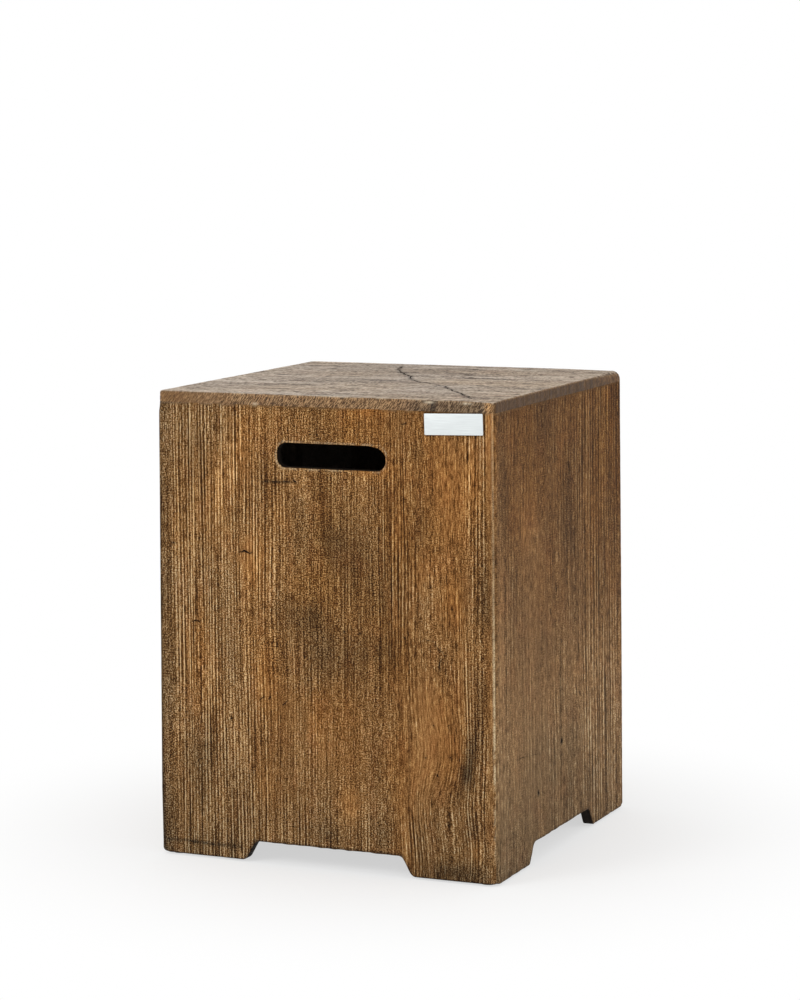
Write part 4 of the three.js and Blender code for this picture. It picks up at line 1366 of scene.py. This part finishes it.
def stretched(tree, place, width, length, start, end, low, high, detail=1.0, roughness=0.5):
    """Noise in cells of a width and a length in millimetres, spread from low to high between the
    values where it starts and ends."""
    cells = add(tree, VECTOR, {0: place, 1: (1 / width, 1 / length, 1)}, operation="MULTIPLY")
    noise = add(tree, NOISE, {"Vector": cells, "Scale": 1.0, "Detail": detail, "Roughness": roughness})
    return add(tree, RANGE, {"Value": noise, "From Min": start, "From Max": end, "To Min": low,
                             "To Max": high})


def grain_tone(tree, value, on_grain, layers):
    """Combed ridges, narrower than the grooves between them, and on them brushed lines, fibres, dark
    strands and grit, each as strong as the point says. Gives the tone, the height and the grit."""
    wave = add(tree, MATH, {0: value["lay"], 1: 2 * math.pi / RIDGE_PITCH}, operation="MULTIPLY")
    wave = add(tree, MATH, {0: wave}, operation="SINE")
    ridge = add(tree, RANGE, {"Value": wave, "From Min": RIDGE_START, "To Min": -0.34, "To Max": 0.66})
    tone = height = add(tree, MATH, {0: ridge, 1: value["comb"], 2: value["grain"]},
                        operation="MULTIPLY_ADD")
    for key, *pattern, rise in layers:
        texture = stretched(tree, on_grain, *pattern, roughness=0.6)
        tone = add(tree, MATH, {0: texture, 1: value[key], 2: tone}, operation="MULTIPLY_ADD")
        height = add(tree, MATH, {0: texture, 1: rise, 2: height}, operation="MULTIPLY_ADD")
    return tone, height, texture


def edge_tone(tree, value, axes):
    """The plate's edge: end-grain hatching, slanted, 2 to 3 mm from line to line."""
    round_edge = add(tree, MATH, {0: axes["X"], 1: axes["Y"]}, operation="ADD")
    slanted = add(tree, MATH, {0: axes["Z"], 1: EDGE_SLANT, 2: round_edge}, operation="MULTIPLY_ADD")
    on_edge = add(tree, "ShaderNodeCombineXYZ", {0: slanted, 1: axes["Z"]})
    tone = 0.5
    for *pattern, weight in EDGE_LAYERS:
        hatch = stretched(tree, on_edge, *pattern, -weight, weight)
        tone = add(tree, MATH, {0: hatch, 1: value["grit"], 2: tone}, operation="MULTIPLY_ADD")
    return tone


def stained(tree, value, on_grain, body):
    """The stain drifts between tan, reddish and grey, and lies thicker in some places."""
    drift = stretched(tree, on_grain, 14, 40, 0.5, 0.75, 0.0, 0.4, detail=3.0)
    warm = add(tree, RANGE, {"Value": value["warm"]})
    cool = add(tree, RANGE, {"Value": value["warm"], "From Max": -1.0})
    for share, tint in ((drift, "#ffe6dc"), (warm, "#ffe0a4"), (cool, "#c8dcf4")):
        body = add(tree, MIX, {0: share, 6: body, 7: linear(tint)}, 2, data_type="RGBA",
                   blend_type="MULTIPLY")
    shade = add(tree, RANGE, {"Value": value["shade"], "From Min": -1.2, "From Max": 1.0,
                              "To Min": 0.22, "To Max": 1.65})
    return add(tree, VECTOR, {0: body, "Scale": shade}, operation="SCALE")


def opened(tree, value, in_mm, body):
    """Painted shade, near black, in the cracks and on the faces cut through the wall; raw casting inside."""
    cells = add(tree, VECTOR, {0: in_mm, "Scale": 1 / 9}, operation="SCALE")
    raw = add(tree, NOISE, {"Vector": cells, "Scale": 1.0, "Detail": 4.0, "Roughness": 0.6})
    # painted shade: the faces cut through the wall are a near-black copy of the raw casting inside
    cut = add(tree, RAMP, {0: raw}, stops=((0.25, linear("#120e0b")), (0.75, linear("#2b231c"))))
    inside = add(tree, RAMP, {0: raw}, stops=((0.25, linear("#43382d")), (0.75, linear("#74675a"))))
    # painted shade: near black in the cracks
    shaded_crack_colour = linear("#150e09")
    for start, end, colour in ((2.6, 4.0, cut), (11.2, 11.8, inside)):
        share = add(tree, RANGE, {"Value": value["deep"], "From Min": start, "From Max": end})
        shaded_crack_colour = add(tree, MIX, {0: share, 6: shaded_crack_colour, 7: colour}, 2, data_type="RGBA")
    share = add(tree, RANGE, {"Value": value["deep"], "From Min": 0.25, "From Max": 0.7})
    return add(tree, MIX, {0: share, 6: body, 7: shaded_crack_colour}, 2, data_type="RGBA")


def cast_finish(name, grain_stops, settings, along, layers, pale, sheen, roughness):
    """Mineral casting pressed from brushed softwood, stained and wiped: matt, dark in the grooves,
    pale on the ridges and where edges are rubbed, grey-brown along the plate's edge."""
    material, tree, place = new_material(name)
    value = {key: add(tree, "ShaderNodeAttribute", out="Fac", attribute_name=key) for key in SURFACE_VALUES}
    in_mm = add(tree, VECTOR, {0: place, "Scale": 1 / MM}, operation="SCALE")
    axes = add(tree, "ShaderNodeSeparateXYZ", {0: in_mm}).node.outputs
    on_grain = add(tree, "ShaderNodeCombineXYZ", {0: value["lay"], 1: axes[along]})
    tone, height, grit = grain_tone(tree, value, on_grain, layers)
    body = add(tree, RAMP, {0: tone}, stops=grain_stops)
    edge = add(tree, RAMP, {0: edge_tone(tree, value, axes)}, stops=(
        (0.2, settings.edge_dark_colour[:]), (0.5, settings.edge_colour[:]),
        (0.8, settings.edge_light_colour[:])))
    body = add(tree, MIX, {0: value["band"], 6: body, 7: edge}, 2, data_type="RGBA")
    body = opened(tree, value, in_mm, stained(tree, value, on_grain, body))
    broken = add(tree, RANGE, {"Value": grit, "From Min": -0.5, "From Max": 0.3, "To Min": 0.4})
    share = add(tree, MATH, {0: value["worn"], 1: broken}, operation="MULTIPLY")
    body = add(tree, MIX, {0: share, 6: body, 7: linear(pale)}, 2, data_type="RGBA")
    rough = add(tree, RANGE, {"Value": tone, "To Min": roughness[0], "To Max": roughness[1]})
    shade_with(tree, {"Base Color": body, "Specular IOR Level": sheen, "Roughness": rough},
               0.8, 0.3, height)
    return material


def wall_material(settings, name):
    """The walls' finish: browner and livelier on the front and back, calmer on the sides, where each
    colour is drawn towards a cooler tone, painted light for the cooler light on the side walls."""
    colours = (settings.groove_colour, settings.shadow_colour, settings.body_colour,
               settings.ridge_colour, settings.light_colour)
    stops = []
    for place, colour, weight in zip((0.0, 0.28, 0.52, 0.76, 1.0), colours, (0.5, 0.75, 1.0, 1.25, 1.5)):
        colour = np.array(colour)
        # painted light: on the side walls each colour is drawn towards the cooler side tone
        if name in ("left", "right"):
            side = np.array(settings.cool_side_light_colour) * weight
            colour = 0.55 * colour + 0.45 * side
        stops.append((place, (*colour[:3].tolist(), 1.0)))
    return cast_finish(f"wood_grain_casting_{name}", stops, settings, "Z", WALL_LAYERS, "#dcc49c",
                       0.12, (0.85, 0.68))


def top_material(settings):
    """The tabletop's finish: the same casting, pale grey-brown."""
    stops = ((0.1, settings.top_dark_colour[:]), (0.5, settings.top_colour[:]),
             (0.9, settings.top_light_colour[:]))
    return cast_finish("wood_grain_casting_top", stops, settings, "X", TOP_LAYERS, "#d8c6aa",
                       0.3, (0.75, 0.6))


def cove_finish(settings):
    """Casting compound laid in by hand with a trowel: grey-brown, gritty, dead matt."""
    material, tree, place = new_material("trowelled_compound")
    broad = add(tree, NOISE, {"Vector": place, "Scale": 40.0, "Detail": 4.0})
    grit = add(tree, NOISE, {"Vector": place, "Scale": 600.0, "Detail": 3.0})
    tone = add(tree, MATH, {0: broad, 1: grit}, operation="ADD")
    half_tone = add(tree, MATH, {0: tone, 1: 0.5}, operation="MULTIPLY")
    body = add(tree, RAMP, {0: half_tone}, stops=(
        (0.3, linear("#463a30")), (0.5, settings.cove_colour[:]), (0.72, linear("#7c6f62"))))
    shade_with(tree, {"Base Color": body, "Roughness": 0.92}, 0.8, 0.4, tone)
    return material


def plate_finish(settings):
    """Aluminium, brushed along its length and lightly etched: pale silver with fine streaks."""
    material, tree, place = new_material("brushed_aluminium")
    # brush lines about 0.15 mm wide, drawn at 0.3 mm so that they show
    streaks = add(tree, "ShaderNodeMapping", {"Vector": place, "Scale": (40, 40, 3300)})
    brushed = add(tree, NOISE, {"Vector": streaks, "Scale": 1.0, "Detail": 3.0})
    metal = settings.plate_colour[:3]
    body = add(tree, RAMP, {0: brushed}, stops=(
        (0.3, (*(c * 0.88 for c in metal), 1)), (0.7, (*(min(c * 1.08, 1) for c in metal), 1))))
    rough = add(tree, RANGE, {"Value": brushed, "From Min": 0.3, "From Max": 0.7, "To Min": 0.34,
                              "To Max": 0.5})
    shade_with(tree, {"Base Color": body, "Metallic": 1.0, "Roughness": rough}, 0.25, 0.05, brushed)
    return material


def foam_finish():
    """Closed-cell acrylic foam tape, charcoal, with fine cells on its cut edge."""
    material, tree, place = new_material("foam_tape")
    cells = add(tree, "ShaderNodeTexVoronoi", {"Vector": place, "Scale": 4000.0}, "Distance")
    body = add(tree, RAMP, {0: cells}, stops=((0.1, linear("#1b1b1c")), (0.7, linear("#343435"))))
    shade_with(tree, {"Base Color": body, "Roughness": 0.9}, 0.5, 0.05, cells)
    return material


def rubber_finish():
    """Moulded black rubber, a little dusty, with a fine spark-eroded grain."""
    material, tree, place = new_material("moulded_rubber")
    dust = add(tree, NOISE, {"Vector": place, "Scale": 160.0, "Detail": 4.0})
    grain = add(tree, NOISE, {"Vector": place, "Scale": 2500.0, "Detail": 2.0})
    body = add(tree, RAMP, {0: dust}, stops=((0.35, linear("#161616")), (0.7, linear("#2b2a28"))))
    rough = add(tree, RANGE, {"Value": dust, "To Min": 0.7, "To Max": 0.95})
    shade_with(tree, {"Base Color": body, "Roughness": rough}, 0.5, 0.08, grain)
    return material


# Settings


def colour_setting(name, description, text):
    """A colour that can be changed, with an sRGB hex value as its default."""
    return bpy.props.FloatVectorProperty(name=name, description=description, default=linear(text),
                                         subtype="COLOR", size=4, min=0.0, max=1.0)


class TankCoverSettings(bpy.types.PropertyGroup):
    """Sizes of the surface grids, the colours of the finishes, the camera and the light."""

    wall_columns: bpy.props.IntProperty(
        name="Wall Columns", description="Points across a wall", default=388, min=20, max=600)
    wall_rows: bpy.props.IntProperty(
        name="Wall Rows", description="Points up a wall", default=196, min=20, max=400)
    top_columns: bpy.props.IntProperty(
        name="Top Columns", description="Cells across the tabletop", default=200, min=20, max=400)
    top_rows: bpy.props.IntProperty(
        name="Top Rows", description="Cells from the tabletop's front to its back", default=280,
        min=20, max=400)
    groove_colour: colour_setting("Groove", "Stain in the deepest grooves", "#2c1a0a")
    shadow_colour: colour_setting("Shadow", "Stain on the grooves' flanks", "#573815")
    body_colour: colour_setting("Body", "The wall's middle tone", "#855e37")
    ridge_colour: colour_setting("Ridge", "Wiped ridges", "#b08856")
    light_colour: colour_setting("Light", "The palest ridges", "#e2c294")
    # painted light: the cooler tone that the side walls' colours are drawn towards
    cool_side_light_colour: colour_setting("Side", "Cooler tone of the side walls", "#785c3f")
    edge_dark_colour: colour_setting("Edge Dark", "Dark hatching on the plate's edge", "#4a3724")
    edge_colour: colour_setting("Edge", "The plate's edge", "#7c6043")
    edge_light_colour: colour_setting("Edge Light", "Pale hatching on the plate's edge", "#b09473")
    top_dark_colour: colour_setting("Top Dark", "Grooves of the tabletop", "#5a4c3f")
    top_colour: colour_setting("Top", "The tabletop's middle tone", "#a49585")
    top_light_colour: colour_setting("Top Light", "Ridges of the tabletop", "#cdbfb0")
    cove_colour: colour_setting("Coves", "Trowelled compound", "#5b5046")
    plate_colour: colour_setting("Plate", "Brushed aluminium", "#e4e9e9")
    floor_colour: colour_setting("Floor", "Studio floor", "#fbfbfa")
    lens: bpy.props.FloatProperty(
        name="Lens", description="Focal length on a 36 mm sensor", default=108.9, min=10,
        subtype="DISTANCE_CAMERA")
    camera_place: bpy.props.FloatVectorProperty(
        name="Camera", description="Where the camera stands", default=(1.3536, -3.0806, 0.822),
        subtype="XYZ", unit="LENGTH")
    camera_turn: bpy.props.FloatProperty(
        name="Turn", description="Camera's turn round the object", default=math.radians(23.67),
        subtype="ANGLE")
    camera_tilt: bpy.props.FloatProperty(
        name="Tilt", description="How far the camera looks down", default=math.radians(7.52),
        subtype="ANGLE")
    camera_roll: bpy.props.FloatProperty(
        name="Roll", description="Camera's roll", default=math.radians(-0.42), subtype="ANGLE")
    sky_strength: bpy.props.FloatProperty(
        name="Sky", description="Strength of the soft light all round", default=0.72, min=0)
    key_power: bpy.props.FloatProperty(
        name="Key", description="Power of the large lamp at the front left", default=42, min=0,
        unit="POWER")
    side_power: bpy.props.FloatProperty(
        name="Side", description="Power of the lamp at the right", default=16, min=0, unit="POWER")


# Stage

FLOOR_RADII = (0.4, 1.0, 2.0, 4.0, 8.0, 16.0, 40.0)
FLOOR_SIDES = 64
SENSOR_WIDTH = 36
CLIP_NEAR, CLIP_FAR = 0.1, 100


def build_floor(settings):
    """A round floor: rings of growing radius, the outermost far away. Past 60 cm it is as white
    as the world behind it."""
    angles = np.arange(FLOOR_SIDES) * 2 * math.pi / FLOOR_SIDES
    turn = np.stack([np.cos(angles), np.sin(angles), 0 * angles], -1)
    rings = np.array(FLOOR_RADII)[:, None, None] / MM * turn
    index = np.arange(rings[..., 0].size).reshape(len(rings), -1)
    floor = solid_piece("studio_floor", (rings.reshape(-1, 3), bands(index[1:], index[:-1]), [index[0]]))
    material, tree, place = new_material("studio_floor")
    matt = add(tree, "ShaderNodeBsdfPrincipled", {
        "Base Color": settings.floor_colour[:], "Roughness": 0.9, "Specular IOR Level": 0.1})
    reach = add(tree, VECTOR, {0: place}, out="Value", operation="LENGTH")
    far = add(tree, RANGE, {"Value": reach, "From Min": 0.2, "From Max": 0.6, "To Min": 0.6},
              interpolation_type="SMOOTHSTEP")
    path = add(tree, "ShaderNodeLightPath").node.outputs
    seen = add(tree, MATH, {0: path["Is Camera Ray"], 1: path["Is Glossy Ray"]}, operation="MAXIMUM")
    share = add(tree, MATH, {0: far, 1: seen}, operation="MULTIPLY")
    white = add(tree, "ShaderNodeEmission", {"Color": (1, 1, 1, 1), "Strength": 1.0})
    both = add(tree, "ShaderNodeMixShader", {0: share, 1: matt, 2: white})
    add(tree, "ShaderNodeOutputMaterial", {"Surface": both})
    floor.data.materials.append(material)


def place_holder(name, data):
    """An object in the scene for a lamp or the camera."""
    holder = bpy.data.objects.new(name, data)
    bpy.context.scene.collection.objects.link(holder)
    return holder


def build_light(settings):
    """Even light from all round, white where the camera and reflections see it, and two big lamps."""
    world = bpy.data.worlds.new("studio_light")
    bpy.context.scene.world = world
    world.use_nodes = True
    tree = world.node_tree
    tree.nodes.clear()
    path = add(tree, "ShaderNodeLightPath").node.outputs
    seen = add(tree, MATH, {0: path["Is Camera Ray"], 1: path["Is Glossy Ray"]}, operation="MAXIMUM")
    seen = add(tree, MATH, {0: seen, 1: path["Is Transmission Ray"]}, operation="MAXIMUM")
    lit = add(tree, "ShaderNodeBackground", {"Color": (1, 1, 1, 1), "Strength": settings.sky_strength})
    white = add(tree, "ShaderNodeBackground", {"Color": (1, 1, 1, 1), "Strength": 1.0})
    both = add(tree, "ShaderNodeMixShader", {0: seen, 1: lit, 2: white})
    add(tree, "ShaderNodeOutputWorld", {"Surface": both})
    lamps = (
        ("key_lamp", (-1.9, -2.9, 2.6), 1.8, settings.key_power),
        ("side_lamp", (3.2, 0.4, 1.9), 1.6, settings.side_power),
    )
    for name, place, size, power in lamps:
        lamp = bpy.data.lights.new(name, "AREA")
        lamp.shape = "DISK"
        lamp.size = size
        lamp.energy = power
        holder = place_holder(name, lamp)
        holder.location = place
        aim = Vector((0, 0, OVERALL_HEIGHT * MM / 2)) - Vector(place)
        holder.rotation_mode = "QUATERNION"
        holder.rotation_quaternion = aim.to_track_quat("-Z", "Y")


def build_camera(settings):
    """The camera at the photograph's viewing angle."""
    camera = bpy.data.cameras.new("camera")
    camera.lens = settings.lens
    camera.sensor_width = SENSOR_WIDTH
    camera.clip_start = CLIP_NEAR
    camera.clip_end = CLIP_FAR
    holder = place_holder("camera", camera)
    turn = Matrix.Rotation(settings.camera_turn, 4, "Z")
    tilt = Matrix.Rotation(math.pi / 2 - settings.camera_tilt, 4, "X")
    roll = Matrix.Rotation(settings.camera_roll, 4, "Z")
    holder.matrix_world = Matrix.Translation(settings.camera_place) @ turn @ tilt @ roll
    bpy.context.scene.camera = holder
    bpy.context.scene.view_settings.view_transform = "Standard"


# Operators


def dress_nodes(names, material):
    """CAD nodes that stay in view take a finish in place of their plain one."""
    for name in names:
        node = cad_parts[name]
        node.data.materials.clear()
        node.data.materials.append(material)


class TANKCOVER_OT_walls(bpy.types.Operator):
    """Cast the four walls with their grain, slots and cut-outs"""

    bl_idname = "tank_cover.walls"
    bl_label = "Cast Walls"

    def execute(self, context):
        settings = context.scene.tank_cover
        for name in WALLS:
            build_wall(name, wall_material(settings, name), settings.wall_columns, settings.wall_rows)
        return {"FINISHED"}


class TANKCOVER_OT_tabletop(bpy.types.Operator):
    """Cast the tabletop plate with its hatched edge and its split"""

    bl_idname = "tank_cover.tabletop"
    bl_label = "Cast Tabletop"

    def execute(self, context):
        settings = context.scene.tank_cover
        build_tabletop(top_material(settings), settings.top_columns, settings.top_rows)
        return {"FINISHED"}


class TANKCOVER_OT_coves(bpy.types.Operator):
    """Lay the coves up the corners and under the top"""

    bl_idname = "tank_cover.coves"
    bl_label = "Lay Coves"

    def execute(self, context):
        material = cove_finish(context.scene.tank_cover)
        for turns, corner in enumerate(CORNERS):
            build_gusset(corner, material, turns)
        for name, wall in WALLS.items():
            build_fillet(name, material, wall["turns"])
        return {"FINISHED"}


class TANKCOVER_OT_name_plate(bpy.types.Operator):
    """Make the blank name plate and finish the foam tape behind it"""

    bl_idname = "tank_cover.name_plate"
    bl_label = "Make Name Plate"

    def execute(self, context):
        build_plate(plate_finish(context.scene.tank_cover))
        dress_nodes(("plate_tape",), foam_finish())
        return {"FINISHED"}


class TANKCOVER_OT_foot_pads(bpy.types.Operator):
    """Finish the rubber foot pads"""

    bl_idname = "tank_cover.foot_pads"
    bl_label = "Finish Foot Pads"

    def execute(self, context):
        dress_nodes([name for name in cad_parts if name.startswith("foot_pad")], rubber_finish())
        return {"FINISHED"}


class TANKCOVER_OT_stage(bpy.types.Operator):
    """Set the floor, the soft light and the camera"""

    bl_idname = "tank_cover.stage"
    bl_label = "Set Stage"

    def execute(self, context):
        settings = context.scene.tank_cover
        build_floor(settings)
        build_light(settings)
        build_camera(settings)
        return {"FINISHED"}


class TANKCOVER_PT_steps(bpy.types.Panel):
    """The steps that build the tank cover table, in order."""

    bl_label = "Tank Cover"
    bl_idname = "TANKCOVER_PT_steps"
    bl_space_type = "VIEW_3D"
    bl_region_type = "UI"
    bl_category = "Tank Cover"

    def draw(self, context):
        layout = self.layout
        for step in STEPS:
            layout.operator(step.bl_idname)
        settings = context.scene.tank_cover
        for name in settings.__annotations__:
            layout.prop(settings, name)


STEPS = (
    TANKCOVER_OT_walls,
    TANKCOVER_OT_tabletop,
    TANKCOVER_OT_coves,
    TANKCOVER_OT_name_plate,
    TANKCOVER_OT_foot_pads,
    TANKCOVER_OT_stage,
)
CLASSES = (TankCoverSettings, *STEPS, TANKCOVER_PT_steps)


def register():
    for kind in CLASSES:
        bpy.utils.register_class(kind)
    bpy.types.Scene.tank_cover = bpy.props.PointerProperty(type=TankCoverSettings)


def unregister():
    del bpy.types.Scene.tank_cover
    for kind in reversed(CLASSES):
        bpy.utils.unregister_class(kind)


def main():
    """Builds the whole scene."""
    register()
    for step in STEPS:
        group, name = step.bl_idname.split(".")
        getattr(getattr(bpy.ops, group), name)()


if __name__ == "__main__":
    main()
